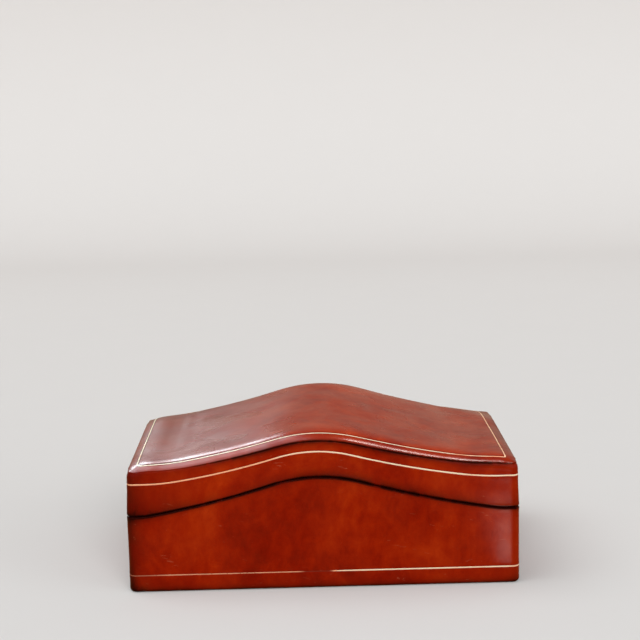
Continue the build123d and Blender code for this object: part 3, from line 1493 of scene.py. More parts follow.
@dataclass
class LidSideCovering(SideCovering):
    """The lid's side covering, which leans in towards the top.

    Attributes:
        upright: How far below the crease it reaches its full lean.
        drawn: From how far below the crease it is drawn in.
    """

    upright: float = 2.0
    drawn: float = 2.6

    def lean(self, x: float, y: float, z: float) -> float:
        """How far the side leans in at a place, most just under the crease.

        Args:
            x: Place along the box.
            y: Place across it.
            z: Height of the place.

        Returns:
            The distance.
        """
        rim, crease = lid_rim(x, y), LID_FORM.crease(x, y)
        steady = LID_FORM.lean * smooth_step((z - rim) / (crease - self.upright - rim))
        part = smooth_step((z - crease + self.drawn) / self.drawn)
        return steady + LID_FORM.crease_lean(x, y) * part


def quarter_turns(steps: int) -> list[tuple[int, float, float]]:
    """The numbers, sines and cosines of the places round a quarter turn, both ends included."""
    angles = [step / steps * pi / 2 for step in range(steps + 1)]
    return [(step, sin(angle), cos(angle)) for step, angle in enumerate(angles)]


def groove_rows(fillet: Fillet) -> list[Row]:
    """The rows of a gilt line's groove, from its lower edge to its upper.

    Args:
        fillet: The gilt line.

    Returns:
        The rows.
    """
    half = fillet.width / 2
    return [
        Row(inset, 1, offset, LEATHER, offset)
        for inset, offset in (
            (0.0, -half - 0.55),
            (0.02, -half - 0.15),
            (0.13, -half + 0.1),
            (0.15, 0.0),
            (0.13, half - 0.1),
            (0.02, half + 0.15),
            (0.0, half + 0.55),
        )
    ]


def turned_in_rows(level: int, away: int, roll_radius: float) -> list[Row]:
    """The rows that turn the leather in over a rim, from the side to the inside of the walls.

    Args:
        level: Level of the rim.
        away: 1 where the side is above the rim, -1 where it is below.
        roll_radius: Radius of the roll at the outside of the rim.

    Returns:
        The rows.
    """
    steps, thinning, bedded = 5, 0.06, 0.36
    beside = [
        Row(0.0, level, away * 2.2, LEATHER, away * 2.6, 0.6),
        Row(0.0, level, away * 1.5, LEATHER, away * 2.1, 0.3),
    ]
    roll = [
        Row(
            roll_radius * (1 - cosine),
            level,
            away * roll_radius * (1 - sine),
            LEATHER + thinning * step,
            away * (LEATHER + thinning * (steps - step)),
        )
        for step, sine, cosine in quarter_turns(steps)
    ]
    across = [
        Row(inset, level, away * turn, max(inset, LEATHER + bedded), away * (LEATHER + turn / 2))
        for inset, turn in (
            (1.6, 0.0),
            (2.4, 0.0),
            (3.2, 0.0),
            (5.0, 0.0),
            (7.0, 0.0),
            (8.7, 0.0),
            (9.05, 0.06),
            (RIM, 0.35),
        )
    ]
    return beside + roll + across


@dataclass
class TooledSides(ABC):
    """The calf round the sides of the base or the lid, with its gilt line.

    Attributes:
        finishes: The finishes.
        fillet: Its gilt line.
        wear: How the line is worn.
        rim_roll: Radius of its roll over the rim.
    """

    finishes: Finishes
    fillet: Fillet = Fillet()
    wear: Wear = Wear(9.0, 0.45)
    rim_roll: float = 1.0

    @property
    @abstractmethod
    def covering(self) -> SideCovering:
        """The leather's guides."""

    @property
    @abstractmethod
    def rows(self) -> list[Row]:
        """The leather's rows, from its first edge to its last."""

    @abstractmethod
    def shade_and_burnish(self, point: Vector) -> float:
        """How dark the leather is at a place, from 0 to 1: painted shade, with burnishing on the
        rims.
        """

    @abstractmethod
    def line_fade(self, point: Vector) -> float:
        """How far the gilt line is rubbed away at a place, from 0 to 1."""

    def line_press(self, point: Vector) -> float:
        """How wide the gilt line is pressed at a place, as a part of its width."""
        return 1.0

    @cached_property
    def skin(self) -> Skin:
        """The leather's two faces."""
        return self.covering.skin(self.rows, self.shade_and_burnish)

    def lay_leather(self, name: str, body: Body) -> bpy.types.Object:
        """Make the leather as a piece that rides on a body."""
        return self.skin.draft().to_piece(name, body, Slot.CALF, self.finishes.calf)

    def lay_line(self, name: str, body: Body) -> None:
        """Lay the gilt line in its groove.

        Args:
            name: Name of the piece.
            body: Body it rides on.
        """
        middle = next(i for i, row in enumerate(self.rows) if row.level == 1 and row.offset == 0)
        groove = self.skin.outer[middle - 1 : middle + 2]
        line = self.fillet.draft(*groove, self.line_fade, self.line_press)
        line.to_piece(name, body, Slot.BRASS, self.finishes.gold)


@dataclass
class BaseCover(TooledSides):
    """The calf that covers the base, from under its floor to the inside of its rims.

    Attributes:
        rim_roll: Radius of its roll over the rim.
        line_z: Height of its gilt line.
        foot_radius: Radius of its turn under the floor.
        turn_under: How far in it reaches under the floor.
        foot_dark: Painted shadow at its foot, where it stands on the floor.
        foot_spread: How far up that spreads.
        rubbed_x: Where the line is rubbed through.
        rubbed_half: Half the length of that place.
        duller: How much duller the line is left of that place, along x from it.
        dullest: How much duller still it is at the left end, along x.
        pressed: How wide the line is pressed in front, at the left and at the right.
        widening: Where it widens there, along x.
    """

    rim_roll: float = 0.9
    line_z: float = 11.8
    foot_radius: float = 2.8
    turn_under: float = 14.0
    foot_dark: float = 0.62
    foot_spread: float = 4.5
    rubbed_x: float = -3.0
    rubbed_half: float = 9.5
    duller: Rise = Rise(12.0, -24.0, 0.55)
    dullest: Rise = Rise(-100.0, -20.0, 0.2)
    pressed: tuple[float, float] = (0.9, 1.3)
    widening: Rise = Rise(0.0, 30.0)

    @cached_property
    def covering(self) -> SideCovering:
        """The leather's guides: the table, the gilt line and the rim."""
        return SideCovering(lambda x, y: 0.0, lambda x, y: self.line_z, base_rim)

    @cached_property
    def rows(self) -> list[Row]:
        """The leather's rows, from under the floor to the inside of the rims.

        Returns:
            The rows.
        """
        last = self.turn_under
        under = [
            Row(inset, 0, lift, inset, LEATHER)
            for inset, lift in ((last, 0.12), (last - 0.6, 0.0), (9.0, 0.0), (5.0, 0.0))
        ]
        radius, inner_radius = self.foot_radius, self.foot_radius - LEATHER
        foot = [
            Row(
                radius - radius * sine,
                0,
                radius - radius * cosine,
                radius - inner_radius * sine,
                radius - inner_radius * cosine,
            )
            for _, sine, cosine in quarter_turns(7)
        ]
        low_side = [Row(0.0, level, 0.0, LEATHER, 0.0, 0.5) for level in (0.4, 0.6, 0.8)]
        steps = (0.08, 0.16, 0.26, 0.36, 0.46, 0.56, 0.66, 0.75, 0.83, 0.89, 0.935)
        high_side = [Row(0.0, 1 + step, 0.0, LEATHER, 0.0, min(step * 6, 1)) for step in steps]
        sides = low_side + groove_rows(self.fillet) + high_side
        return under + foot + sides + turned_in_rows(2, -1, self.rim_roll)

    def shade_and_burnish(self, point: Vector) -> float:
        """How dark the leather is: painted shade along the seam and at its corners, painted shadow
        at its foot, and burnishing on its rims.

        Args:
            point: The place.

        Returns:
            The darkness, from 0 to 1.
        """
        below = max(base_rim(point.x, point.y) - point.z, 0.0)
        # Painted shade along the seam, with burnishing on the rim.
        near_rim = SHADE_AND_BURNISH.at_rim(point, below, side=0.60, spread=2.2)
        # Painted shadow along the foot, where the box stands on the floor.
        near_foot = self.foot_dark * exp(-max(point.z - 0.5, 0.0) / self.foot_spread)
        return min(near_rim + near_foot + SHADE_AND_BURNISH.at_corner(point), 1.0)

    def line_fade(self, point: Vector) -> float:
        """How far the gilt line is rubbed away: through in the middle, and duller left of it.

        Args:
            point: The place.

        Returns:
            The fading, from 0 to 1.
        """
        off_middle = point.x - self.rubbed_x
        rubbed = exp(-((abs(off_middle) / self.rubbed_half) ** 4)) if point.y < 0 else 0.0
        dull = self.duller.at(off_middle) + self.dullest.at(point.x)
        return min(rubbed + dull + self.wear.at(point), 1.0)

    def line_press(self, point: Vector) -> float:
        """How wide the line is pressed: wider to the right of the rubbed place."""
        return blend(*self.pressed, self.widening.at(point.x)) if point.y < 0 else 1.0

    def build(self) -> None:
        """Make the covering and its gilt line."""
        cover = self.lay_leather("base_cover", Body.BASE)
        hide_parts("base_leather_wrap")
        self.lay_line("base_gilt_line", Body.BASE)


@dataclass
class LidBand(TooledSides):
    """The calf band round the lid's sides, from the inside of its rims up to the crease.

    Attributes:
        fillet: Its gilt line.
        wear: How the line is worn.
        rim_roll: Radius of its roll over the rim.
        lip: How far its upper edge turns in at the crease.
        lip_height: Height over which it turns in.
        crease_gap: How far it stays under the crease where that is open.
        seam_dark: Painted shade along the seam.
        front_dark: Darkness added there in patches.
        front_dark_x: Where that is strongest, in front.
        front_dark_reach: How far to each side of that.
        dark_elsewhere: How strong it is on the other sides, as a part of that.
        patch_size: Size of those patches.
        crease_dark: Painted shade under the open crease.
        crease_spread: How far down that spreads.
        darker_left: Painted shade added to the left, along x.
        duller: How much duller the gilt line is to the left, along x.
    """

    fillet: Fillet = Fillet(width=1.25)
    wear: Wear = Wear(12.0, 0.4)
    rim_roll: float = 1.15
    lip: float = 0.3
    lip_height: float = 1.0
    crease_gap: float = 0.35
    seam_dark: float = 0.48
    front_dark: float = 0.62
    front_dark_x: float = 40.0
    front_dark_reach: float = 62.0
    dark_elsewhere: float = 0.4
    patch_size: float = 30.0
    crease_dark: float = 0.80
    crease_spread: float = 2.5
    darker_left: Rise = Rise(-50.0, -70.0, 0.16)
    duller: Rise = Rise(20.0, -100.0, 0.36)

    @cached_property
    def covering(self) -> SideCovering:
        """The leather's guides: the rim, the gilt line and the crease.

        Returns:
            The covering.
        """
        return LidSideCovering(
            lid_rim,
            lambda x, y: BAND_LINE.height(x),
            lambda x, y: LID_FORM.crease(x, y) - self.crease_gap * LID_FORM.open_crease(x),
        )

    @cached_property
    def rows(self) -> list[Row]:
        """The leather's rows, from the inside of the rims to the crease.

        Returns:
            The rows.
        """
        over_rim = turned_in_rows(0, 1, self.rim_roll)[::-1]
        steps = (0.16, 0.26, 0.38, 0.5, 0.62, 0.74, 0.86)
        low_side = [Row(0.0, step, 0.0, LEATHER, 0.0, min((1 - step) * 4, 1)) for step in steps]
        steps = (0.25, 0.45, 0.62, 0.76)
        high_side = [Row(0.0, 1 + step, 0.0, LEATHER, 0.0, 0.4) for step in steps]
        lip = [
            Row(
                self.lip * (1 - cosine),
                2,
                -self.lip_height * (1 - sine),
                LEATHER + 0.02 * step,
                -1.5 + 0.3 * step,
            )
            for step, sine, cosine in quarter_turns(4)
        ]
        return over_rim + low_side + groove_rows(self.fillet) + high_side + lip

    def shade_and_burnish(self, point: Vector) -> float:
        """How dark the leather is: painted shade along the seam, under the crease, at the corners
        and to the left, darker patches above the seam, and burnishing on the rims.

        Args:
            point: The place.

        Returns:
            The darkness, from 0 to 1.
        """
        above = max(point.z - lid_rim(point.x, point.y), 0.0)
        size = self.patch_size
        # Darker in patches above the seam, most in front.
        patches = 0.5 + 0.5 * noise.noise(Vector((point.x / size, point.y / size, 4.2)))
        front_part = self.dark_elsewhere
        if point.y < 0:
            front_part = exp(-(((point.x - self.front_dark_x) / self.front_dark_reach) ** 2))
        side = self.seam_dark + self.front_dark * front_part * patches
        # Painted shade along the seam, with burnishing on the rim.
        near_rim = SHADE_AND_BURNISH.at_rim(point, above, side, spread=4.6)
        # Painted shade under the open crease.
        below = max(LID_FORM.crease(point.x, point.y) - point.z, 0.0)
        near_crease = self.crease_dark * LID_FORM.open_crease(point.x)
        near_crease *= exp(-below / self.crease_spread)
        # Painted shade at the corners and to the left.
        near_corner = 0.6 * SHADE_AND_BURNISH.at_corner(point) + self.darker_left.at(point.x)
        return min(near_rim + near_crease + near_corner, 1.0)

    def line_fade(self, point: Vector) -> float:
        """How far the gilt line is rubbed away, more towards the left."""
        return min(self.wear.at(point) + self.duller.at(point.x), 1.0)

    def build(self) -> None:
        """Make the band and its gilt line."""
        band = self.lay_leather("lid_band", Body.LID)
        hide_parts("lid_band_leather")
        self.lay_line("lid_band_gilt_line", Body.LID)


# ---------------------------------------------------------------------------
# Padded top
# ---------------------------------------------------------------------------


def shrunk(x: float, y: float, by: float) -> tuple[float, float]:
    """A place drawn in towards the middle of the plan, by a distance at the outside."""
    return x * ((HALF_LENGTH - by) / HALF_LENGTH), y * ((HALF_DEPTH - by) / HALF_DEPTH)


class GridPoint(NamedTuple):
    """A point of the padded top's grid: where it is, how far in, and on which ring."""

    x: float
    y: float
    inset: float
    ring: int


@dataclass
class PaddedTop:
    """The padded calf on top of the lid: rolled edge, soft shoulder and gilt border.

    It is a grid whose outer rings follow the rounded plan and whose middle is square. Where
    sizes differ from side to side, they are given for the front, right, back and left.

    Attributes:
        finishes: The finishes.
        fillet: Its gilt border.
        wear: How the border is worn.
        shoulders: How far in the soft shoulders reach.
        fullness: How full the shoulders are.
        roundness: How round their rolled edge is.
        pillow: How far its middle is padded up.
        lip: How far above the crease its rolled edge begins.
        slumps: How far the back corners slump, left and right, as a part of their rise.
        slump_reach: How far that spreads along and across the box.
        softness: How far it undulates.
        soft_size: Size of the undulations.
        soft_reach: Inset from which it undulates fully.
        tucks: Inset and rise of the rings under the roll, from the crease.
        leaning: Inset up to which it leans in with the sides.
        corner_pull: How much less it leans in on the round of a corner.
        bedding: From the board to the underside of the padding.
        line_ring: Ring that the gilt border lies on.
        line_inset: Nominal inset of that ring.
        line_sunk: Depth of its groove.
        side_line_insets: Inset of the border from each side.
        corner_radii: Corner radii of the border, from the front left one.
        crease_dark: Painted shade on the outer rings, from the crease.
        roll_dark: Painted shade on the rolled edge.
        inner_dark: Darkness of the top inside that.
        darker_left: Painted shade added there to the left, along x.
        line_dark: Darkness beside the gilt border.
        top_light_reach: Inset from which its painted light is full.
        least_top_light: How much painted light it has at the left, as a part of the right.
        top_light_rise: Where its painted light grows, along x.
        duller: How much duller the gilt border is at the right, along x.
        narrowest: How wide the border is pressed on the ends and the back.
        narrowing: Where it gets that narrow, along y.
        columns: Steps along its middle.
        lines: Steps across its middle.
    """

    finishes: Finishes
    fillet: Fillet = Fillet(width=1.9, proud=0.1)
    wear: Wear = Wear(11.0, 0.5, 0.08)
    shoulders: tuple[float, float, float, float] = (22.0, 26.0, 32.0, 26.0)
    fullness: float = 4.0
    roundness: float = 1.15
    pillow: float = 0.8
    lip: float = 0.55
    slumps: tuple[float, float] = (0.35, 0.75)
    slump_reach: tuple[float, float] = (24.0, 30.0)
    softness: float = 0.25
    soft_size: float = 38.0
    soft_reach: float = 8.0
    tucks: tuple[tuple[float, float], ...] = ((0.36, -1.0), (0.3, -0.35), (0.1, 0.12))
    leaning: float = 14.0
    corner_pull: float = 0.29
    bedding: float = 0.05
    line_ring: int = 14
    line_inset: float = 7.0
    line_sunk: float = 0.16
    side_line_insets: tuple[float, float, float, float] = (6.0, 8.5, 6.0, 7.0)
    corner_radii: tuple[float, float, float, float] = (4.6, 0.9, 3.0, 3.0)
    crease_dark: tuple[float, ...] = (0.75, 0.7, 0.58, 0.42, 0.30, 0.2, 0.12, 0.06)
    roll_dark: float = 0.24
    inner_dark: float = 0.06
    darker_left: Rise = Rise(10.0, -100.0, 0.26)
    line_dark: float = 0.4
    top_light_reach: float = 9.0
    least_top_light: float = 0.25
    top_light_rise: Rise = Rise(-90.0, 90.0)
    duller: Rise = Rise(60.0, 60.0, 0.22)
    narrowest: float = 0.56
    narrowing: Rise = Rise(7.0 - HALF_DEPTH, 6.0)
    columns: int = 98
    lines: int = 30

    @cached_property
    def rings(self) -> list[float]:
        """Nominal insets of the rings, from the crease to the end of the shoulder.

        Returns:
            The insets.
        """
        half = self.fillet.width / 2
        across = (-half - 0.5, -half - 0.1, 0, half + 0.1, half + 0.5)
        groove = [self.line_inset + step for step in across]
        edge = [0.0, 0.0, 0.0, 0.1, 0.25, 0.48, 0.8, 1.25, 1.8, 2.6, 3.6, 4.9]
        return edge + groove + [8.9, 10.2, 11.8, 13.6, 15.6, 17.8, 20.0]

    @property
    def last(self) -> int:
        """Number of the innermost ring."""
        return len(self.rings) - 1

    @property
    def total(self) -> tuple[int, int]:
        """Steps of the whole grid along the box and across it."""
        return 2 * self.last + self.columns, 2 * self.last + self.lines

    def side_inset(self, ring: int, side: Side) -> float:
        """Inset of a ring from a side, drawn in or out so that the gilt border is in its place.

        Args:
            ring: Number of the ring.
            side: The side.

        Returns:
            The inset.
        """
        nominal, innermost = self.rings[ring], self.rings[-1]
        wanted, rolled = self.side_line_insets[side.value], 1.5
        if nominal <= self.line_inset:
            part = Rise(rolled, self.line_inset - rolled).at(nominal)
            return nominal + (wanted - self.line_inset) * part
        return blend(wanted, innermost, (nominal - self.line_inset) / (innermost - self.line_inset))

    def rounding(self, inset: float, side: Side) -> float:
        """How far up the rolled edge and the shoulder rise from a side, from 0 to 1."""
        reach = 1 - min(max(inset, 0.0) / self.shoulders[side.value], 1.0)
        return (1 - reach**self.fullness) ** (1 / self.roundness)

    def surface(self, x: float, y: float, inset: float) -> float:
        """Height of the top.

        Args:
            x: Place along the box.
            y: Place across it.
            inset: How far in from the rounded plan the place is.

        Returns:
            The height, with the shoulders rolled down and the corners slumped.
        """
        end = Side.LEFT if x < 0 else Side.RIGHT
        face = Side.FRONT if y < 0 else Side.BACK
        height = LID_FORM.top(x, y)
        fall = height - LID_FORM.crease(x, y) - self.lip
        risen = min(
            self.rounding(HALF_LENGTH - abs(x), end) * self.rounding(HALF_DEPTH - abs(y), face),
            self.rounding(inset, Side.FRONT),
        )
        reach_x, reach_y = self.slump_reach
        near = ((HALF_LENGTH - abs(x)) / reach_x) ** 2 + ((HALF_DEPTH - y) / reach_y) ** 2
        risen *= 1 - self.slumps[end is Side.RIGHT] * exp(-near)
        swell = self.pillow * (1 - (x / HALF_LENGTH) ** 2) * (1 - (y / HALF_DEPTH) ** 2)
        soft = self.softness * undulation(x, y, 0.0, self.soft_size)
        soft *= smooth_step(inset / self.soft_reach)
        return height - fall * (1 - risen) + swell + soft

    def ring_place(
        self, ring: int, along: float, first: Side, second: Side, start_radius: float
    ) -> tuple[float, float, float]:
        """A place on a ring's corner.

        Args:
            ring: Number of the ring.
            along: From the end of the corner on the first side (0) to the second side's (1).
            first: Side before the corner, an end of the box.
            second: Side after it, the front or the back.
            start_radius: Corner radius that the ring has at the gilt border.

        Returns:
            Its distances in from the two sides' planes, and its inset.
        """
        inset_first, inset_second = self.side_inset(ring, first), self.side_inset(ring, second)
        end = self.rings[-1]
        part = smooth_step(self.rings[ring] / self.line_inset)
        radius = blend(CORNER_RADIUS, start_radius, part)
        stretch_first = max(end - inset_second - radius, 0.0)
        stretch_second = max(end - inset_first - radius, 0.0)
        radius = min(radius, end - inset_first, end - inset_second)
        arc = radius * pi / 2
        whole = stretch_first + arc + stretch_second
        distance = along * whole
        inset = blend(inset_first, inset_second, smooth_step(along))
        if distance < stretch_first:
            return inset_first, end - distance, inset
        if distance <= stretch_first + arc:
            angle = (distance - stretch_first) / radius if radius > 0 else 0.0
            return (
                inset_first + radius * (1 - cos(angle)),
                inset_second + radius * (1 - sin(angle)),
                inset,
            )
        return end - (whole - distance), inset_second, inset

    def middle_place(self, number: int, half: float, steps: int) -> float:
        """Where a line of the grid's square middle runs, from the middle of the box."""
        inner = half - self.rings[-1]
        return -inner + 2 * inner * (number - self.last) / steps

    def grid_point(self, i: int, j: int) -> GridPoint:
        """A point of the grid.

        Args:
            i: Number along the box, from its left end.
            j: Number across it, from its front.

        Returns:
            The point.
        """
        last = self.last
        total_i, total_j = self.total
        end = Side.LEFT if i <= total_i - i else Side.RIGHT
        face = Side.FRONT if j <= total_j - j else Side.BACK
        from_end, from_face = min(i, total_i - i), min(j, total_j - j)
        ring = min(from_end, from_face, last)
        if from_end < last and from_face < last:
            corner = {
                (Side.LEFT, Side.FRONT): 0,
                (Side.RIGHT, Side.FRONT): 1,
                (Side.RIGHT, Side.BACK): 2,
                (Side.LEFT, Side.BACK): 3,
            }[end, face]
            span = last - ring
            step = (last - from_face) if from_end == ring else span + (from_end - ring)
            along = step / (2 * span)
            in_x, in_y, inset = self.ring_place(ring, along, end, face, self.corner_radii[corner])
        else:
            if from_end < last:
                in_x = inset = self.side_inset(ring, end)
            else:
                place = self.middle_place(i, HALF_LENGTH, self.columns)
                in_x, end = HALF_LENGTH - abs(place), Side.LEFT if place <= 0 else Side.RIGHT
            if from_face < last:
                in_y = inset = self.side_inset(ring, face)
            else:
                place = self.middle_place(j, HALF_DEPTH, self.lines)
                in_y, face = HALF_DEPTH - abs(place), Side.FRONT if place <= 0 else Side.BACK
            if ring == last:
                inset = min(in_x, in_y)
        x = (HALF_LENGTH - in_x) * (-1 if end is Side.LEFT else 1)
        y = (HALF_DEPTH - in_y) * (-1 if face is Side.FRONT else 1)
        return GridPoint(x, y, inset, ring)

    def outside(self, point: GridPoint) -> Vector:
        """The outside of the top at a grid point.

        Args:
            point: The grid point.

        Returns:
            Its place on the outside.
        """
        x, y, inset, ring = point
        if ring < len(self.tucks):
            tuck, rise = self.tucks[ring]
            z = LID_FORM.crease(x, y) + rise
        else:
            tuck = 0.0
            z = self.surface(x, y, inset)
            if ring == self.line_ring:
                z -= self.line_sunk
        lean = LID_FORM.lean + LID_FORM.crease_lean(x, y)
        tuck += lean * (1 - smooth_step(inset / self.leaning))
        tuck *= 1 - self.corner_pull * round_corner(x, y)
        x, y = shrunk(x, y, tuck)
        return Vector((x, y, z))

    def inside(self, point: GridPoint) -> Vector:
        """The underside of the padding at a grid point.

        Args:
            point: The grid point.

        Returns:
            Its place on the underside.
        """
        x, y, inset, ring = point
        deep = LID_FORM.lean + LID_FORM.drawn_in + LEATHER + 0.03 * ring
        x, y = shrunk(x, y, max(deep - inset, 0.0))
        return Vector((x, y, LID_FORM.board(x, y) + self.bedding))

    def shade_and_burnish(self, point: Vector, ring: int) -> float:
        """How dark the leather is: painted shade at the crease, on the roll and to the left, and
        darker by the border.

        Args:
            point: The place.
            ring: Number of the ring that it is on.

        Returns:
            The darkness.
        """
        dark = 0.0
        # Painted shade at the crease.
        if ring < len(self.crease_dark):
            dark = self.crease_dark[ring] * LID_FORM.open_crease(point.x)
        # Painted shade on the rolled edge, and inside it to the left.
        on_roll = ring < self.line_ring - 1
        dark += self.roll_dark if on_roll else self.inner_dark + self.darker_left.at(point.x)
        return dark + (self.line_dark if abs(ring - self.line_ring) == 1 else 0.0)

    def top_light(self, point: Vector, inset: float) -> float:
        """Painted light on the top: how much lighter the leather is made inside the border, least
        at the left.
        """
        along = blend(self.least_top_light, 1.0, self.top_light_rise.at(point.x))
        return smooth_step(inset / self.top_light_reach) * along

    def ring_loop(self, ring: int) -> list[tuple[int, int]]:
        """The grid points of a ring, once round from the front left corner.

        Args:
            ring: Number of the ring.

        Returns:
            The numbers of its points, along the box and across it.
        """
        total_i, total_j = self.total
        end_i, end_j = total_i - ring, total_j - ring
        return (
            [(i, ring) for i in range(ring, end_i)]
            + [(end_i, j) for j in range(ring, end_j)]
            + [(i, end_j) for i in range(end_i, ring, -1)]
            + [(ring, j) for j in range(end_j, ring, -1)]
        )

    def build(self) -> None:
        """Make the padded top and its gilt border."""
        total_i, total_j = self.total
        outer: Layer = []
        inner: Layer = []
        burnished_and_shaded: list[list[float]] = []
        painted_top_light: list[list[float]] = []
        for j in range(total_j + 1):
            grid_line = [self.grid_point(i, j) for i in range(total_i + 1)]
            outer.append([self.outside(point) for point in grid_line])
            inner.append([self.inside(point) for point in grid_line])
            seen = list(zip(outer[-1], grid_line))
            # Marks of painted shade at the edges and of painted light inside the border.
            burnished_and_shaded.append([self.shade_and_burnish(place, point.ring) for place, point in seen])
            painted_top_light.append([self.top_light(place, point.inset) for place, point in seen])
        skin = Skin(outer, inner, {"shade_and_burnish": burnished_and_shaded, "painted_top_light": painted_top_light}, closed=False)
        top = skin.draft().to_piece("lid_padded_top", Body.LID, Slot.CALF, self.finishes.calf)
        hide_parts("lid_top_leather", "lid_padding")
        self.build_border(outer)

    def line_fade(self, point: Vector) -> float:
        """How far the gilt border is rubbed away: a little all over, more at the right."""
        return min(self.wear.at(point) + self.duller.at(point.x), 1.0)

    def line_press(self, point: Vector) -> float:
        """How wide the border is pressed: narrower on the ends and the back than in front."""
        return blend(1.0, self.narrowest, self.narrowing.at(point.y))

    def build_border(self, outer: Layer) -> None:
        """Lay the gilt border along its ring.

        Args:
            outer: The points on the top's outside.
        """
        middle = [outer[j][i] for i, j in self.ring_loop(self.line_ring)]
        low, high = [], []
        for index, point in enumerate(middle):
            before, after = middle[index - 1], middle[(index + 1) % len(middle)]
            along = (after - before).normalized()
            across = Vector((0, 0, 1)).cross(along).normalized()
            low.append(point - across)
            high.append(point + across)
        line = self.fillet.draft(low, middle, high, self.line_fade, self.line_press)
        line.to_piece("lid_top_gilt_border", Body.LID, Slot.BRASS, self.finishes.gold)


# ---------------------------------------------------------------------------
# Carcass, linings and hinges
# ---------------------------------------------------------------------------


@dataclass
class LidBoard:
    """The bent board of the lid, planed off at its back corners under the padding.

    Attributes:
        finishes: The finishes.
        columns: Steps along it.
        lines: Steps across it.
        corner_ease: How far its corners are taken in.
        corner_x: Where the corners are, along x from the middle.
        corner_y: Where they are, along y from the middle.
    """

    finishes: Finishes
    columns: int = 90
    lines: int = 30
    corner_ease: float = 2.2
    corner_x: Rise = Rise(117.0, 12.0)
    corner_y: Rise = Rise(66.0, 12.0)

    def build(self) -> None:
        """Make the board."""
        underside = LID_FORM.board_depth + LID_FORM.board_thickness
        upper, lower = [], []
        for line in range(self.lines + 1):
            y = (HALF_DEPTH - LEATHER) * (2 * line / self.lines - 1)
            places = []
            for column in range(self.columns + 1):
                x = (HALF_LENGTH - LEATHER) * (2 * column / self.columns - 1)
                near = self.corner_x.at(abs(x)) * self.corner_y.at(abs(y))
                eased = self.corner_ease * near
                places.append((x * (1 - eased / HALF_LENGTH), y * (1 - eased / HALF_DEPTH)))
            upper.append([Vector((x, y, LID_FORM.board(x, y))) for x, y in places])
            lower.append([Vector((x, y, TOP.height(x) - underside)) for x, y in places])
        draft = Skin(upper, lower, closed=False).draft()
        board = draft.to_piece("lid_board", Body.LID, Slot.WOOD, self.finishes.wood)
        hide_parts("lid_top_board")


@dataclass
class PackedParts:
    """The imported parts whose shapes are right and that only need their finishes."""

    finishes: Finishes

    def build(self) -> None:
        """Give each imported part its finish."""
        finish_by_word = {
            "lining": self.finishes.suede,
            "sheet": self.finishes.baize,
            "leaf": self.finishes.brass,
            "pin": self.finishes.brass,
            "screws": self.finishes.brass,
        }
        for name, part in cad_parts.items():
            fitting = (finish for word, finish in finish_by_word.items() if word in name)
            finish = next(fitting, self.finishes.wood)
            part.data.materials.clear()
            part.data.materials.append(finish)
            log.info("%s: finished with %s", name, finish.name)


# ---------------------------------------------------------------------------
# Studio
# ---------------------------------------------------------------------------


@dataclass(frozen=True)
class Lamp:
    """A soft panel lamp that shows in the gloss of the leather, in metres and watts.

    Attributes:
        name: Its name.
        place: Where it hangs.
        size: Width and height of its panel.
        power: Its power.
        aim: Where it points.
        colour: Colour of its light.
        turn: How far it is turned about its own axis, in degrees.
    """

    name: str
    place: Place
    size: tuple[float, float]
    power: float
    aim: Place
    colour: Colour
    turn: float = 0.0


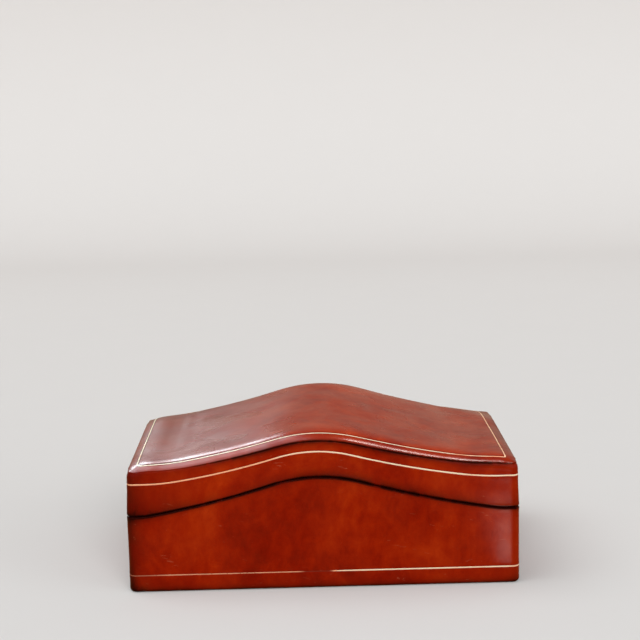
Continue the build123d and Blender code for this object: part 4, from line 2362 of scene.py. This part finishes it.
@dataclass
class Studio:
    """A pale paper sweep, soft lamps and the camera, in metres.

    Attributes:
        finishes: The finishes.
        room_strength: Strength of the light from all around.
        room_colour: Its colour.
        room_mirrored: Its colour where the leather's gloss mirrors it.
        camera_place: Where the camera stands.
        camera_right: What lies to the right for the camera.
        camera_up: What lies upwards for it.
        lens: Its focal length in millimetres.
    """

    finishes: Finishes
    room_strength: float = 0.42
    room_colour: Colour = (0.95, 0.97, 1.0)
    room_mirrored: Colour = (0.50, 0.32, 0.20)
    camera_place: Place = (-0.01136, -0.98809, 0.33977)
    camera_right: Place = (0.99962, -0.01685, -0.02188)
    camera_up: Place = (0.02444, 0.17081, 0.98500)
    lens: float = 80.1

    def build_sweep(self) -> None:
        """Lay the paper under the box and sweep it up behind."""
        half_width, front, back, bend, top = 7.0, -7.0, 1.6, 0.9, 2.6
        bent = [(back + bend * sine, bend * (1 - cosine)) for _, sine, cosine in quarter_turns(12)]
        profile = [(front, 0.0), *bent, (back + bend, top)]
        draft = MeshDraft()
        for y, z in profile:
            for x in (-half_width, half_width):
                draft.add_point((x / MM, y / MM, z / MM))
        for step in range(len(profile) - 1):
            first = 2 * step
            draft.faces.append((first, first + 1, first + 3, first + 2))
        sweep = stand("paper_sweep", draft.to_mesh("paper_sweep", self.finishes.paper))
        sweep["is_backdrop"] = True

    def hang(self, lamp: Lamp) -> None:
        """Hang a lamp.

        Args:
            lamp: The lamp.
        """
        light = bpy.data.lights.new(lamp.name, "AREA")
        light.shape = "RECTANGLE"
        light.size, light.size_y = lamp.size
        light.energy = lamp.power
        light.color = lamp.colour
        holder = stand(lamp.name, light)
        holder.visible_camera = False
        holder.visible_diffuse = False
        holder.location = lamp.place
        aimed = (Vector(lamp.aim) - Vector(lamp.place)).to_track_quat("-Z", "Y")
        turned = Quaternion((0.0, 0.0, 1.0), radians(lamp.turn))
        holder.rotation_euler = (aimed @ turned).to_euler()

    def shine(self, name: str, comes_from: Place, strength: float, spread: float) -> None:
        """Let even, soft light fall from one side, as from a large lamp far away.

        Args:
            name: Name of the light.
            comes_from: Direction it comes from.
            strength: Its strength.
            spread: Angle over which it is spread, in degrees.
        """
        light = bpy.data.lights.new(name, "SUN")
        light.energy = strength
        light.angle = radians(spread)
        holder = stand(name, light)
        holder.visible_glossy = False
        holder.rotation_euler = Vector(comes_from).to_track_quat("Z", "Y").to_euler()

    def hang_lamps(self) -> None:
        """Hang the lamps, and let soft light fall from over the left, the front and the right."""
        cool, warm = (0.82, 0.93, 1.0), (1.0, 0.97, 0.92)
        over_left = (-0.08, -0.04, 0.09)
        beside, upwards = (0.146, -0.245, 0.003), (0.146, -0.245, 1.0)
        for lamp in (
            Lamp("window", (-0.42, 1.2, 0.52), (0.32, 0.5), 0.29, over_left, cool),
            Lamp("window_edge", (-0.5, 0.9, 0.66), (0.45, 0.25), 3.6, over_left, cool),
            Lamp("overhead", (-0.45, 0.38, 0.97), (0.4, 0.65), 4.2, over_left, cool),
            Lamp("sky", (-0.35, -0.1, 1.1), (0.5, 0.5), 2.6, over_left, cool),
            Lamp("corner", (0.34, -0.05, 0.95), (0.08, 0.2), 1.9, (0.12, -0.07, 0.08), warm),
            Lamp("beside", beside, (0.010, 0.25), 0.030, upwards, warm, -9.0),
        ):
            self.hang(lamp)
        for name, comes_from, strength, spread in (
            ("over_left_light", (-0.45, 0.0, 0.9), 1.1, 50.0),
            ("front_light", (0.17, -1.0, 0.62), 1.75, 40.0),
            ("right_light", (1.0, -0.55, 0.35), 0.5, 40.0),
        ):
            self.shine(name, comes_from, strength, spread)

    def light_room(self) -> None:
        """Set the light of the room, which the gloss mirrors in another colour."""
        world = bpy.data.worlds.new("studio_room")
        world.use_nodes = True
        tree = world.node_tree
        background = tree.nodes["Background"]
        background.inputs["Strength"].default_value = self.room_strength
        colour = tree.nodes.new("ShaderNodeMix")
        colour.data_type = "RGBA"
        colour.inputs[6].default_value = (*self.room_colour, 1.0)
        colour.inputs[7].default_value = (*self.room_mirrored, 1.0)
        path = tree.nodes.new("ShaderNodeLightPath")
        tree.links.new(path.outputs["Is Glossy Ray"], colour.inputs["Factor"])
        tree.links.new(colour.outputs[2], background.inputs["Color"])
        bpy.context.scene.world = world
        bpy.context.scene.view_settings.view_transform = "Standard"

    def place_camera(self) -> None:
        """Stand the camera in front of the box, a little above it."""
        camera = bpy.data.cameras.new("camera")
        camera.lens = self.lens
        camera.sensor_width = 36.0
        holder = stand("camera", camera)
        right, up = Vector(self.camera_right), Vector(self.camera_up)
        axes = Matrix((right, up, right.cross(up))).transposed().to_4x4()
        holder.matrix_world = Matrix.Translation(self.camera_place) @ axes
        bpy.context.scene.camera = holder

    def build(self) -> None:
        """Set up the studio."""
        self.build_sweep()
        self.hang_lamps()
        self.light_room()
        self.place_camera()


def corners(bounds: Sequence[Sequence[float]]) -> list[list[float]]:
    """A box's two corners as plain lists."""
    return [[float(value) for value in corner] for corner in bounds]


def main() -> None:
    """Build the box and the studio."""
    logging.basicConfig(level=logging.INFO, format="%(name)s: %(message)s")
    packed = corners(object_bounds())
    finishes = Finishes()
    PackedParts(finishes).build()
    BaseCover(finishes).build()
    LidBand(finishes).build()
    PaddedTop(finishes).build()
    LidBoard(finishes).build()
    Studio(finishes).build()
    {"packed": packed, "dressed": corners(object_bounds())}


if __name__ == "__main__":
    main()
